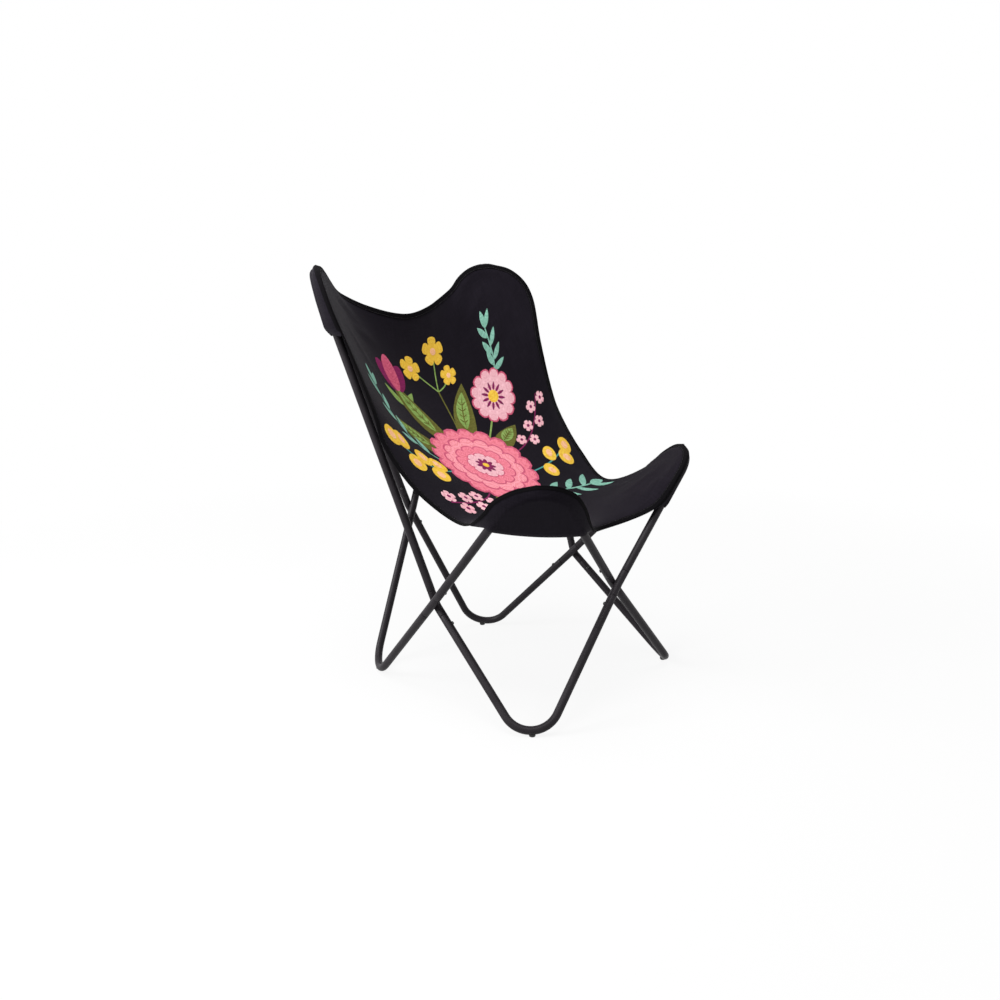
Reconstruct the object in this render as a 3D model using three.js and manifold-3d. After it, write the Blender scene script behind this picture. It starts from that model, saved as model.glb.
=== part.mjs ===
// Butterfly sling chair: a knock-down frame of bent steel tube with a canvas sling hung on its four tips.
// Millimetres, +Z up, floor at z = 0, the front of the seat towards -Y, left is -X as seen from the front.
import * as THREE from 'three';
import { mergeVertices } from 'three/addons/utils/BufferGeometryUtils.js';
import Module from 'manifold-3d';

const wasm = await Module();
wasm.setup();

// Tube and its bends
const TUBE_D = 17;
const TUBE_WALL = 1.2;
const FOOT_BEND_R = 58;
const TIP_BEND_R = 68;
const CROSS_BEND_R = 40;
const TUBE_SIDES = 12;
const BEND_STEPS = 8;

// Peaks of the bends, on the tube's centre line
const FRONT_FOOT_X = 254;
const FRONT_FOOT_Y = -261;
const BACK_FOOT_X = 185;
const BACK_FOOT_Y = 221;
const FRONT_TIP_X = 270;
const FRONT_TIP_Y = -280;
const FRONT_TIP_Z = 484;
const BACK_TIP_X = 276;
const BACK_TIP_Y = 272;
const BACK_TIP_Z = 870.6;

// Crossings of the tubes, midway between the two welded centre lines
const SIDE_CROSS_X = 249;
const SIDE_CROSS_Y = -6;
const SIDE_CROSS_Z = 214;
const FRONT_CROSS_Y = -284;
const FRONT_CROSS_Z = 253.5;
const BACK_CROSS_Y = 285;
const BACK_CROSS_Z = 335.5;
const WELD_SINK = 0.5;
const WELD_R = 5.5;
const WELD_WAIST_R = 4.4;
const WELD_H = 7;

// Plug joints between each crossing and the arms of the feet and tips
const SEAM_FROM_CROSS = 30;
const SEAM_GAP = 0.3;
const PLUG_LENGTH = 46;
const PLUG_FIT = 0.3;
const PLUG_WALL = 1.2;

// Snap buttons and their hairpin springs
const BUTTON_D = 6.4;
const BUTTON_FROM_SEAM = 22;
const BUTTON_STAND = 2.6;
const BUTTON_DOME = 1.8;
const BUTTON_FIT = 0.35;
const BUTTON_SIDES = 8;
const LEAF_W = 4.6;
const LEAF_T = 0.6;
const LEAF_LENGTH = 26;
const LEAF_LIP = 4.5;
const LEAF_BEND_R = 2.4;
const LEAF_FIT = 0.3;
const LEAF_DROP = 3;

// Plastic glides under the feet
const GLIDE_H = 4;
const GLIDE_D = 13;
const GLIDE_FLAT_D = 8;
const GLIDE_LIP = 1.5;
const GLIDE_FIT = 0.3;
const PEG_D = 5;
const PEG_LENGTH = 4;
const GLIDE_SIDES = 12;

// Canvas sling: rounded tips, points along its edges and the middle of the seat.
// Shoulders are measured across, down and inwards from the top of their own tip.
const CANVAS_T = 1.2;
const CANVAS_GAP = 0.5;
const TIP_GAP = 0.1;
const DOME_R = 104;
const DOME_TURNS = [0, 25, 50, 75];
const BACK_DOME_TURNS = [0, 25, 48];
const BACK_DOME_SHIFT = -9;
const BACK_DOME_LEAN = 10;
const BACK_OVERHANG = 14.5;
const FRONT_OVERHANG = 18;
const ARM_OVERHANG = 34;
const ARM_LEAN = 6;
const ARM_DEPTHS = [290, 170];
const BACK_SHOULDER = new THREE.Vector3(97, 61, 31);
const BACK_EDGE_Y = 283;
const BACK_EDGE_Z = 779;
const FRONT_SHOULDER = new THREE.Vector3(122, 130, 14);
const FRONT_EDGE_Y = -250;
const FRONT_EDGE_Z = 362;
const SIDE_UPPER = new THREE.Vector3(301, 75, 548);
const SIDE_MIDDLE = new THREE.Vector3(288, 0, 459);
const SIDE_LOW = new THREE.Vector3(266, -92, 402);
const FRONT_CENTRE = new THREE.Vector3(0, -146, 384);
const SEAT_CENTRE = new THREE.Vector3(0, 25, 450);
const BACK_CENTRE = new THREE.Vector3(0, 207, 582);
const PANEL_COLS = 22;
const PANEL_ROWS = 24;
const SETTLE_PASSES = 400;
const SEAT_FLATNESS = 0.07;

// Shares of the sling's length where its rows begin to hang evenly, do so fully, and stop doing so
const EVEN_BEGIN = 0.08;
const EVEN_FULL_FROM = 0.23;
const EVEN_FULL_TO = 0.4;
const EVEN_END = 0.6;

// Pockets on the outside of the tips, and the tape that binds the edge
const BACK_POCKET_DEPTH = 106;
const BACK_POCKET_FLARE = 7;
const FRONT_POCKET_DEPTH = 96;
const FRONT_POCKET_SIDE_DEPTH = 76;
const FRONT_POCKET_FLARE = 1.5;
const MOUTH_BULGE = 8;
const POCKET_SLACK = 2.6;
const TAPE_T = 0.8;
const TAPE_LEG = 3;
const TAPE_FIT = 0.85;

// Sizes that follow from the ones above
const TUBE_R = TUBE_D / 2;
const BORE_R = TUBE_R - TUBE_WALL;
const PLUG_R = BORE_R - PLUG_FIT;
const PLUG_BORE_R = PLUG_R - PLUG_WALL;
const BUTTON_R = BUTTON_D / 2;
const BUTTON_FROM_CROSS = SEAM_FROM_CROSS + BUTTON_FROM_SEAM;
const FOOT_Z = TUBE_R + GLIDE_H;
const CROSS_HALF = TUBE_R - WELD_SINK;
const CANVAS_FROM_TUBE = TUBE_R + TIP_GAP + CANVAS_T / 2;

const steel = { color: 0x18181b, roughness: 0.42, metalness: 0.55 };
const springSteel = { color: 0x8b8d90, roughness: 0.35, metalness: 0.9 };
const buttonSteel = { color: 0x2a2a2d, roughness: 0.35, metalness: 0.8 };
const plastic = { color: 0x101012, roughness: 0.6, metalness: 0 };
const canvas = { color: 0x1c1a1f, roughness: 0.95, metalness: 0 };
const tape = { color: 0x121114, roughness: 0.9, metalness: 0 };

const chair = new THREE.Group();

function addPart(name, geometry, finish) {
  const mesh = new THREE.Mesh(geometry, new THREE.MeshStandardMaterial(finish));
  mesh.name = name;
  chair.add(mesh);
  return mesh;
}

const vec = (x, y, z) => new THREE.Vector3(x, y, z);
const towards = (from, to) => to.clone().sub(from).normalize();
const along = (from, direction, distance) => from.clone().addScaledVector(direction, distance);

// Closed geometry to a solid for joining and cutting, and back again
function toSolid(geometry) {
  const bare = geometry.index ? geometry.toNonIndexed() : geometry.clone();
  bare.deleteAttribute('normal');
  bare.deleteAttribute('uv');
  const merged = mergeVertices(bare, 1e-4);
  return new wasm.Manifold(new wasm.Mesh({
    numProp: 3,
    vertProperties: new Float32Array(merged.attributes.position.array),
    triVerts: new Uint32Array(merged.index.array),
  }));
}

function toGeometry(solid) {
  const mesh = solid.getMesh();
  const geometry = new THREE.BufferGeometry();
  geometry.setAttribute('position', new THREE.BufferAttribute(new Float32Array(mesh.vertProperties), 3));
  geometry.setIndex(new THREE.BufferAttribute(new Uint32Array(mesh.triVerts), 1));
  geometry.computeVertexNormals();
  return geometry;
}

// Centre line given by its stations, so that a straight run takes a single step
class StationLine extends THREE.Curve {
  constructor(points, tangents) {
    super();
    this.points = points;
    this.tangents = tangents;
  }
  getPointAt(u) {
    return this.points[Math.round(u * (this.points.length - 1))].clone();
  }
  getTangentAt(u) {
    return this.tangents[Math.round(u * (this.points.length - 1))].clone();
  }
}

// Straight run from start to the bend at the corner, the bend, and the straight run to end
function bentLine(start, corner, end, radius, bendSteps) {
  const toStart = towards(corner, start);
  const toEnd = towards(corner, end);
  const half = toStart.angleTo(toEnd) / 2;
  const centre = along(corner, toStart.clone().add(toEnd).normalize(), radius / Math.sin(half));
  const first = along(corner, toStart, radius / Math.tan(half)).sub(centre).normalize();
  const turnAxis = toStart.clone().negate().cross(toEnd).normalize();
  const sweep = Math.PI - 2 * half;
  const points = [start.clone()];
  const tangents = [toStart.clone().negate()];
  for (let i = 0; i <= bendSteps; i++) {
    const spoke = first.clone().applyAxisAngle(turnAxis, (sweep * i) / bendSteps);
    points.push(along(centre, spoke, radius));
    tangents.push(turnAxis.clone().cross(spoke).normalize());
  }
  points.push(end.clone());
  tangents.push(toEnd.clone());
  return new StationLine(points, tangents);
}

// Round bar or tube along a line; the bore's flats stand at its true radius
function tubeAlong(line, radius, boreRadius = 0) {
  const section = new THREE.Shape().absarc(0, 0, radius, 0, 2 * Math.PI, false);
  if (boreRadius > 0) {
    const flatsOut = boreRadius / Math.cos(Math.PI / TUBE_SIDES);
    section.holes.push(new THREE.Path().absarc(0, 0, flatsOut, 0, 2 * Math.PI, true));
  }
  return new THREE.ExtrudeGeometry(section, {
    steps: line.points.length - 1,
    extrudePath: line,
    curveSegments: TUBE_SIDES / 2,
  });
}

// Corner where two straight runs would meet, so that their bend peaks at the given point
function cornerFor(peak, endA, endB, radius) {
  const corner = peak.clone();
  for (let pass = 0; pass < 60; pass++) {
    const toA = towards(corner, endA);
    const toB = towards(corner, endB);
    const half = toA.angleTo(toB) / 2;
    const rise = radius * (1 / Math.sin(half) - 1);
    corner.copy(along(peak, toA.add(toB).normalize(), -rise));
  }
  return corner;
}

// Solid of revolution stood on a point, with its axis along a direction
function turned(profile, sides, base, direction) {
  const geometry = new THREE.LatheGeometry(profile.map(([r, h]) => new THREE.Vector2(r, h)), sides);
  geometry.applyQuaternion(new THREE.Quaternion().setFromUnitVectors(vec(0, 1, 0), direction));
  return geometry.translate(base.x, base.y, base.z);
}

const rod = (base, direction, radius, length, sides) =>
  turned([[0, 0], [radius, 0], [radius, length], [0, length]], sides, base, direction);

// Centre points of the two tubes at each crossing: outer is the tube further from the seat
const crossings = {
  left: { outer: vec(-SIDE_CROSS_X - CROSS_HALF, SIDE_CROSS_Y, SIDE_CROSS_Z),
    inner: vec(-SIDE_CROSS_X + CROSS_HALF, SIDE_CROSS_Y, SIDE_CROSS_Z) },
  right: { outer: vec(SIDE_CROSS_X + CROSS_HALF, SIDE_CROSS_Y, SIDE_CROSS_Z),
    inner: vec(SIDE_CROSS_X - CROSS_HALF, SIDE_CROSS_Y, SIDE_CROSS_Z) },
  front: { outer: vec(0, FRONT_CROSS_Y - CROSS_HALF, FRONT_CROSS_Z),
    inner: vec(0, FRONT_CROSS_Y + CROSS_HALF, FRONT_CROSS_Z) },
  back: { outer: vec(0, BACK_CROSS_Y + CROSS_HALF, BACK_CROSS_Z),
    inner: vec(0, BACK_CROSS_Y - CROSS_HALF, BACK_CROSS_Z) },
};

// The bent pieces: each foot and each tip has two arms that run to neighbouring crossings
const frontFoot = vec(FRONT_FOOT_X, FRONT_FOOT_Y, FOOT_Z);
const backFoot = vec(BACK_FOOT_X, BACK_FOOT_Y, FOOT_Z);
const frontTip = vec(FRONT_TIP_X, FRONT_TIP_Y, FRONT_TIP_Z);
const backTip = vec(BACK_TIP_X, BACK_TIP_Y, BACK_TIP_Z);
const onLeft = (point) => vec(-point.x, point.y, point.z);
const bentPieces = {
  front_left_foot: { peak: onLeft(frontFoot), arms: [['left', 'inner'], ['front', 'outer']] },
  front_right_foot: { peak: frontFoot, arms: [['right', 'outer'], ['front', 'inner']] },
  back_left_foot: { peak: onLeft(backFoot), arms: [['left', 'outer'], ['back', 'inner']] },
  back_right_foot: { peak: backFoot, arms: [['right', 'inner'], ['back', 'outer']] },
  front_left_tip: { peak: onLeft(frontTip), arms: [['left', 'outer'], ['front', 'inner']] },
  front_right_tip: { peak: frontTip, arms: [['right', 'inner'], ['front', 'outer']] },
  back_left_tip: { peak: onLeft(backTip), arms: [['left', 'inner'], ['back', 'outer']] },
  back_right_tip: { peak: backTip, arms: [['right', 'outer'], ['back', 'inner']] },
};

// Layout of one bent piece: its corner, the direction of each arm and the inward side of each arm
for (const [name, piece] of Object.entries(bentPieces)) {
  piece.radius = name.endsWith('foot') ? FOOT_BEND_R : TIP_BEND_R;
  const ends = piece.arms.map(([side, layer]) => crossings[side][layer]);
  piece.corner = cornerFor(piece.peak, ends[0], ends[1], piece.radius);
  const runs = ends.map((end) => towards(piece.corner, end));
  piece.joints = piece.arms.map(([side, layer], i) => {
    const outward = runs[i].clone().negate();
    const inward = runs[1 - i].clone().addScaledVector(runs[i], -runs[1 - i].dot(runs[i])).normalize();
    const label = `${name.replace(/_(foot|tip)$/, '')}_${side}_${name.endsWith('foot') ? 'lower' : 'upper'}`;
    return { side, layer, cross: ends[i], outward, inward, label };
  });
}

const joints = Object.values(bentPieces).flatMap((piece) => piece.joints);

// Hole for a snap button, from the tube's axis out through its wall
function buttonHole(joint) {
  const base = along(joint.cross, joint.outward, BUTTON_FROM_CROSS);
  return toSolid(rod(base, joint.inward, BUTTON_R + BUTTON_FIT, TUBE_D, BUTTON_SIDES));
}

// Feet and tips: one bent tube each, open at both ends
for (const [name, piece] of Object.entries(bentPieces)) {
  const reach = SEAM_FROM_CROSS + SEAM_GAP;
  const [start, end] = piece.joints.map((joint) => along(joint.cross, joint.outward, reach));
  piece.line = bentLine(start, piece.corner, end, piece.radius, BEND_STEPS);
  let tube = toSolid(tubeAlong(piece.line, TUBE_R, BORE_R));
  for (const joint of piece.joints) tube = tube.subtract(buttonHole(joint));
  if (name.endsWith('foot')) {
    const below = vec(piece.peak.x, piece.peak.y, 0);
    tube = tube.subtract(toSolid(rod(below, vec(0, 0, 1), PEG_D / 2 + GLIDE_FIT, FOOT_Z, GLIDE_SIDES)));
  }
  addPart(`${name}_tube`, toGeometry(tube), steel);
}

// Crossings: two short bent tubes with swaged plug ends, welded where they touch
for (const [side, pair] of Object.entries(crossings)) {
  const bores = [];
  const bodies = [];
  for (const layer of ['outer', 'inner']) {
    const arms = joints.filter((joint) => joint.side === side && joint.layer === layer);
    const lineTo = (reach) => bentLine(
      along(pair[layer], arms[0].outward, reach), pair[layer], along(pair[layer], arms[1].outward, reach),
      CROSS_BEND_R, 2);
    const sleeve = toSolid(tubeAlong(lineTo(SEAM_FROM_CROSS), TUBE_R));
    const plugs = toSolid(tubeAlong(lineTo(SEAM_FROM_CROSS + PLUG_LENGTH), PLUG_R));
    bodies.push(sleeve.add(plugs));
    bores.push(toSolid(tubeAlong(lineTo(SEAM_FROM_CROSS + PLUG_LENGTH + TUBE_WALL), PLUG_BORE_R)));
    bores.push(...arms.map(buttonHole));
  }
  const middle = pair.outer.clone().add(pair.inner).multiplyScalar(0.5);
  const across = towards(pair.outer, pair.inner);
  const half = WELD_H / 2;
  const bead = [[0, -half], [WELD_R, -half], [WELD_WAIST_R, 0], [WELD_R, half], [0, half]];
  let cross = bodies[0].add(bodies[1]).add(toSolid(turned(bead, TUBE_SIDES, middle, across)));
  for (const bore of bores) cross = cross.subtract(bore);
  addPart(`${side}_cross_connector`, toGeometry(cross), steel);
}

// Snap buttons: domed pins that stand out of the arm's hole
const leafTop = PLUG_R - LEAF_DROP;
const buttonBase = leafTop + LEAF_FIT;
const buttonTop = TUBE_R + BUTTON_STAND;
for (const joint of joints) {
  const foot = along(along(joint.cross, joint.outward, BUTTON_FROM_CROSS), joint.inward, buttonBase);
  const height = buttonTop - buttonBase;
  const profile = [[0, 0], [BUTTON_R, 0], [BUTTON_R, height - BUTTON_DOME]];
  profile.push([BUTTON_R * Math.SQRT1_2, height - BUTTON_DOME * (1 - Math.SQRT1_2)], [0, height]);
  addPart(`${joint.label}_snap_button`, turned(profile, BUTTON_SIDES, foot, joint.inward), buttonSteel);
}

// Strip of even thickness along a flat path
function stripShape(points, thickness) {
  const sides = [[], []];
  points.forEach((point, i) => {
    const before = points[Math.max(i - 1, 0)];
    const after = points[Math.min(i + 1, points.length - 1)];
    const normal = after.clone().sub(before).normalize().rotateAround(new THREE.Vector2(), Math.PI / 2);
    sides[0].push(point.clone().addScaledVector(normal, thickness / 2));
    sides[1].unshift(point.clone().addScaledVector(normal, -thickness / 2));
  });
  return new THREE.Shape([...sides[0], ...sides[1]]);
}

// Hairpin springs: one leaf under the button, one on the far wall of the plug's bore
for (const joint of joints) {
  const wallReach = Math.sqrt((PLUG_BORE_R - LEAF_FIT) ** 2 - (LEAF_W / 2) ** 2);
  const low = -wallReach + LEAF_T / 2;
  const high = leafTop - LEAF_T / 2;
  const path = [new THREE.Vector2(LEAF_LIP, high), new THREE.Vector2(-LEAF_LIP, high)];
  for (let i = 0; i <= 4; i++) {
    const turn = Math.PI / 2 + (i * Math.PI) / 4;
    path.push(new THREE.Vector2(
      -LEAF_LENGTH + LEAF_BEND_R * Math.cos(turn), low + LEAF_BEND_R * (1 + Math.sin(turn))));
  }
  path.push(new THREE.Vector2(LEAF_LIP, low));
  const leaf = new THREE.ExtrudeGeometry(stripShape(path, LEAF_T), { depth: LEAF_W, bevelEnabled: false });
  leaf.translate(0, 0, -LEAF_W / 2);
  const sideways = joint.outward.clone().cross(joint.inward);
  leaf.applyMatrix4(new THREE.Matrix4().makeBasis(joint.outward, joint.inward, sideways));
  const seat = along(joint.cross, joint.outward, BUTTON_FROM_CROSS);
  addPart(`${joint.label}_button_spring`, leaf.translate(seat.x, seat.y, seat.z), springSteel);
}

// Glides: flat-bottomed pads hollowed to the tube, with a peg pushed into the underside of each foot
for (const [name, piece] of Object.entries(bentPieces)) {
  if (!name.endsWith('foot')) continue;
  const base = vec(piece.peak.x, piece.peak.y, 0);
  const up = vec(0, 0, 1);
  const rimR = GLIDE_D / 2;
  const lipZ = GLIDE_H + GLIDE_LIP;
  const profile = [[0, 0], [GLIDE_FLAT_D / 2, 0], [rimR, GLIDE_H / 2], [rimR, lipZ], [0, lipZ]];
  const saddle = toSolid(tubeAlong(piece.line, TUBE_R + GLIDE_FIT));
  const pad = toSolid(turned(profile, GLIDE_SIDES, base, up)).subtract(saddle);
  const peg = rod(along(base, up, GLIDE_H / 2), up, PEG_D / 2, GLIDE_H / 2 + PEG_LENGTH, GLIDE_SIDES);
  addPart(`${name}_glide`, toGeometry(pad.add(toSolid(peg))), plastic);
}

// Local frame of a tip: across runs from its side arm to its front or back arm, down along the bisector,
// inside towards the sitter
function tipFrame(name) {
  const piece = bentPieces[name];
  const runs = piece.joints.map((joint) => joint.outward.clone().negate());
  const down = runs[0].clone().add(runs[1]).normalize();
  const across = runs[1].clone().sub(runs[0]).normalize();
  const inside = across.clone().cross(down).normalize();
  if (inside.z < 0) inside.negate();
  const half = runs[0].angleTo(runs[1]) / 2;
  const at = (a, d, h) => along(along(along(piece.peak, across, a), down, d), inside, h);
  const depthOf = (point) => point.clone().sub(piece.peak).dot(down);
  const acrossOf = (point) => point.clone().sub(piece.peak).dot(across);
  const armAt = (d) => (d + piece.radius * (1 / Math.sin(half) - 1)) * Math.tan(half);
  return { piece, across, down, inside, half, at, depthOf, acrossOf, armAt };
}

const tips = Object.fromEntries(
  Object.keys(bentPieces).filter((name) => name.endsWith('tip')).map((name) => [name, tipFrame(name)]));

// Point of a tip's rounded edge, by its angle from the top
function domePoint(tip, shift, overhang, lean, degrees) {
  const turn = THREE.MathUtils.degToRad(degrees);
  const depth = DOME_R * (1 - Math.cos(turn)) - overhang;
  const inwards = CANVAS_FROM_TUBE + lean * Math.max(Math.sin(turn), 0);
  return tip.at(shift + DOME_R * Math.sin(turn), depth, inwards);
}

const backDome = (tip, degrees) => domePoint(tip, BACK_DOME_SHIFT, BACK_OVERHANG, BACK_DOME_LEAN, degrees);
const frontDome = (tip, degrees) => domePoint(tip, 0, FRONT_OVERHANG, 0, degrees);

// Edge point beside a side arm, where the canvas laps past the tube
const besideArm = (tip, depth) =>
  tip.at(-tip.armAt(depth) - ARM_OVERHANG, depth, CANVAS_FROM_TUBE + ARM_LEAN);

function edgeThrough(points) {
  const curve = new THREE.CatmullRomCurve3(points, false, 'centripetal');
  curve.arcLengthDivisions = 400;
  return curve;
}

// The four edges of the sling, each from tip to tip
function backHalf(tip) {
  return [...BACK_DOME_TURNS.map((turn) => backDome(tip, turn)), tip.at(...BACK_SHOULDER.toArray())];
}

function frontHalf(tip) {
  return [...DOME_TURNS.map((turn) => frontDome(tip, turn)), tip.at(...FRONT_SHOULDER.toArray())];
}

function sideEdge(frontTip, backTip, hand) {
  const middle = [SIDE_LOW, SIDE_MIDDLE, SIDE_UPPER].map((point) => vec(hand * point.x, point.y, point.z));
  return edgeThrough([
    ...DOME_TURNS.map((turn) => frontDome(frontTip, -turn)),
    ...middle,
    ...ARM_DEPTHS.map((depth) => besideArm(backTip, depth)),
    ...DOME_TURNS.map((turn) => backDome(backTip, -turn)).reverse(),
  ]);
}

const backEdge = edgeThrough([...backHalf(tips.back_left_tip), vec(0, BACK_EDGE_Y, BACK_EDGE_Z),
  ...backHalf(tips.back_right_tip).reverse()]);
const frontEdge = edgeThrough([...frontHalf(tips.front_left_tip), vec(0, FRONT_EDGE_Y, FRONT_EDGE_Z),
  ...frontHalf(tips.front_right_tip).reverse()]);
const leftEdge = sideEdge(tips.front_left_tip, tips.back_left_tip, -1);
const rightEdge = sideEdge(tips.front_right_tip, tips.back_right_tip, 1);

// Grid of the sling, its lines closer together towards the rounded tips
const spread = (i, count) => (i / count + (1 - Math.cos((Math.PI * i) / count)) / 2) / 2;
const at = (row, col) => row * (PANEL_COLS + 1) + col;
const slingPoints = [];
for (let row = 0; row <= PANEL_ROWS; row++) {
  const v = spread(row, PANEL_ROWS);
  for (let col = 0; col <= PANEL_COLS; col++) {
    const u = spread(col, PANEL_COLS);
    if (row === 0) slingPoints.push(frontEdge.getPointAt(u));
    else if (row === PANEL_ROWS) slingPoints.push(backEdge.getPointAt(u));
    else slingPoints.push(leftEdge.getPointAt(v).lerp(rightEdge.getPointAt(v), u));
  }
}

// Canvas drawn taut between its edges: each inner point settles midway between its neighbours
for (let pass = 0; pass < SETTLE_PASSES; pass++) {
  for (let row = 1; row < PANEL_ROWS; row++) {
    for (let col = 1; col < PANEL_COLS; col++) {
      slingPoints[at(row, col)].copy(slingPoints[at(row - 1, col)]).add(slingPoints[at(row + 1, col)])
        .add(slingPoints[at(row, col - 1)]).add(slingPoints[at(row, col + 1)]).multiplyScalar(0.25);
    }
  }
}

// Slack in the middle lets the canvas hang back and down through three centres, a quarter of the rows apart
const [frontSlack, seatSlack, backSlack] = [FRONT_CENTRE, SEAT_CENTRE, BACK_CENTRE].map((centre, i) =>
  centre.clone().sub(slingPoints[at((PANEL_ROWS * (i + 1)) / 4, PANEL_COLS / 2)]).setX(0));
const ends = frontSlack.clone().add(backSlack).multiplyScalar(Math.SQRT1_2);
const waves = [
  ends.clone().add(seatSlack).multiplyScalar(0.5),
  frontSlack.clone().sub(backSlack).multiplyScalar(0.5),
  ends.clone().sub(seatSlack).multiplyScalar(0.5),
];
for (let row = 1; row < PANEL_ROWS; row++) {
  const drop = vec(0, 0, 0);
  waves.forEach((wave, i) => drop.addScaledVector(wave, Math.sin((Math.PI * (i + 1) * row) / PANEL_ROWS)));
  const flat = SEAT_FLATNESS * Math.sin((Math.PI * row) / PANEL_ROWS) ** 2;
  for (let col = 1; col < PANEL_COLS; col++) {
    const turn = (Math.PI * col) / PANEL_COLS;
    const share = (Math.sin(turn) + flat * Math.sin(3 * turn)) / (1 - flat);
    slingPoints[at(row, col)].addScaledVector(drop, share);
  }
}

// Under the sitter each row hangs from one side edge to the other in an even curve
for (let row = 1; row < PANEL_ROWS; row++) {
  const length = row / PANEL_ROWS;
  const starting = THREE.MathUtils.smoothstep(length, EVEN_BEGIN, EVEN_FULL_FROM);
  const evenness = starting * (1 - THREE.MathUtils.smoothstep(length, EVEN_FULL_TO, EVEN_END));
  const [left, right] = [slingPoints[at(row, 0)], slingPoints[at(row, PANEL_COLS)]];
  const sag = slingPoints[at(row, PANEL_COLS / 2)].clone().sub(left.clone().lerp(right, 0.5));
  for (let col = 1; col < PANEL_COLS; col++) {
    const u = spread(col, PANEL_COLS);
    const even = along(left.clone().lerp(right, u), sag, Math.sin(Math.PI * u));
    slingPoints[at(row, col)].lerp(even, evenness);
  }
}

// Faces between two rows of points
function strip(rowA, rowB) {
  const faces = [];
  for (let i = 0; i < rowA.length - 1; i++) {
    faces.push([rowA[i], rowA[i + 1], rowB[i + 1]], [rowA[i], rowB[i + 1], rowB[i]]);
  }
  return faces;
}

function sheetNormals(points, faces) {
  const middle = new THREE.BufferGeometry().setFromPoints(points);
  middle.setIndex(faces.flat());
  middle.computeVertexNormals();
  return points.map((_, i) => vec(0, 0, 0).fromBufferAttribute(middle.attributes.normal, i));
}

// Sheet of even thickness about a surface, closed along its open edges
function sheetSolid(points, faces, thickness) {
  const normals = sheetNormals(points, faces);
  const upper = points.map((point, i) => along(point, normals[i], thickness / 2));
  const lower = points.map((point, i) => along(point, normals[i], -thickness / 2));
  const count = points.length;
  const open = new Map();
  for (const [a, b, c] of faces) {
    for (const [from, to] of [[a, b], [b, c], [c, a]]) {
      if (!open.delete(`${to} ${from}`)) open.set(`${from} ${to}`, [from, to]);
    }
  }
  const closing = [...open.values()].flatMap(([a, b]) => [[a, a + count, b + count], [a, b + count, b]]);
  const under = faces.map(([a, b, c]) => [a + count, c + count, b + count]);
  const geometry = new THREE.BufferGeometry().setFromPoints([...upper, ...lower]);
  return geometry.setIndex([...faces, ...under, ...closing].flat());
}

const slingRows = Array.from({ length: PANEL_ROWS + 1 }, (_, row) =>
  Array.from({ length: PANEL_COLS + 1 }, (__, col) => at(row, col)));
const slingFaces = slingRows.slice(1).flatMap((row, i) => strip(slingRows[i], row));
const slingNormals = sheetNormals(slingPoints, slingFaces);
addPart('sling_panel', sheetSolid(slingPoints, slingFaces, CANVAS_T), canvas);

// Edge of the sling in order, with the way out of the canvas at each of its points
const rim = [
  ...slingRows[0],
  ...slingRows.slice(1).map((row) => row[PANEL_COLS]),
  ...slingRows[PANEL_ROWS].slice(0, -1).reverse(),
  ...slingRows.slice(1, -1).map((row) => row[0]).reverse(),
];
const rimStations = rim.map((index, i) => {
  const before = slingPoints[rim[(i + rim.length - 1) % rim.length]];
  const after = slingPoints[rim[(i + 1) % rim.length]];
  const normal = slingNormals[index];
  const outward = after.clone().sub(before).cross(normal).normalize();
  return { point: slingPoints[index], normal, outward };
});

// Pockets: canvas caps sewn along the edge of each tip and passed round the outside of its tube
const layerStep = CANVAS_T + CANVAS_GAP;
const wrapR = TUBE_R + POCKET_SLACK + CANVAS_T / 2;
const wrapFlat = wrapR * Math.tan(Math.PI / 8);
const corners = {
  front_left_tip: 0,
  front_right_tip: PANEL_COLS,
  back_right_tip: PANEL_COLS + PANEL_ROWS,
  back_left_tip: 2 * PANEL_COLS + PANEL_ROWS,
};

// Nearest point of a tip's tube to a place on its rim, and the way out from it, in the plane of the tip
function nearestOnTip(tip, point) {
  const { radius } = tip.piece;
  const offset = point.clone().sub(tip.piece.peak);
  const across = offset.dot(tip.across);
  const depth = offset.dot(tip.down);
  const turn = Math.atan2(across, radius - depth);
  const lastTurn = Math.PI / 2 - tip.half;
  const angle = THREE.MathUtils.clamp(turn, -lastTurn, lastTurn);
  const out = tip.across.clone().multiplyScalar(Math.sin(angle)).addScaledVector(tip.down, -Math.cos(angle));
  const onBend = along(along(tip.piece.peak, tip.down, radius), out, radius);
  const run = tip.down.clone().multiplyScalar(Math.sin(Math.abs(angle)))
    .addScaledVector(tip.across, Math.sign(angle) * Math.cos(angle));
  const further = angle === turn ? 0 : point.clone().sub(onBend).dot(run);
  return { out, axis: along(onBend, run, further) };
}

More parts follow.
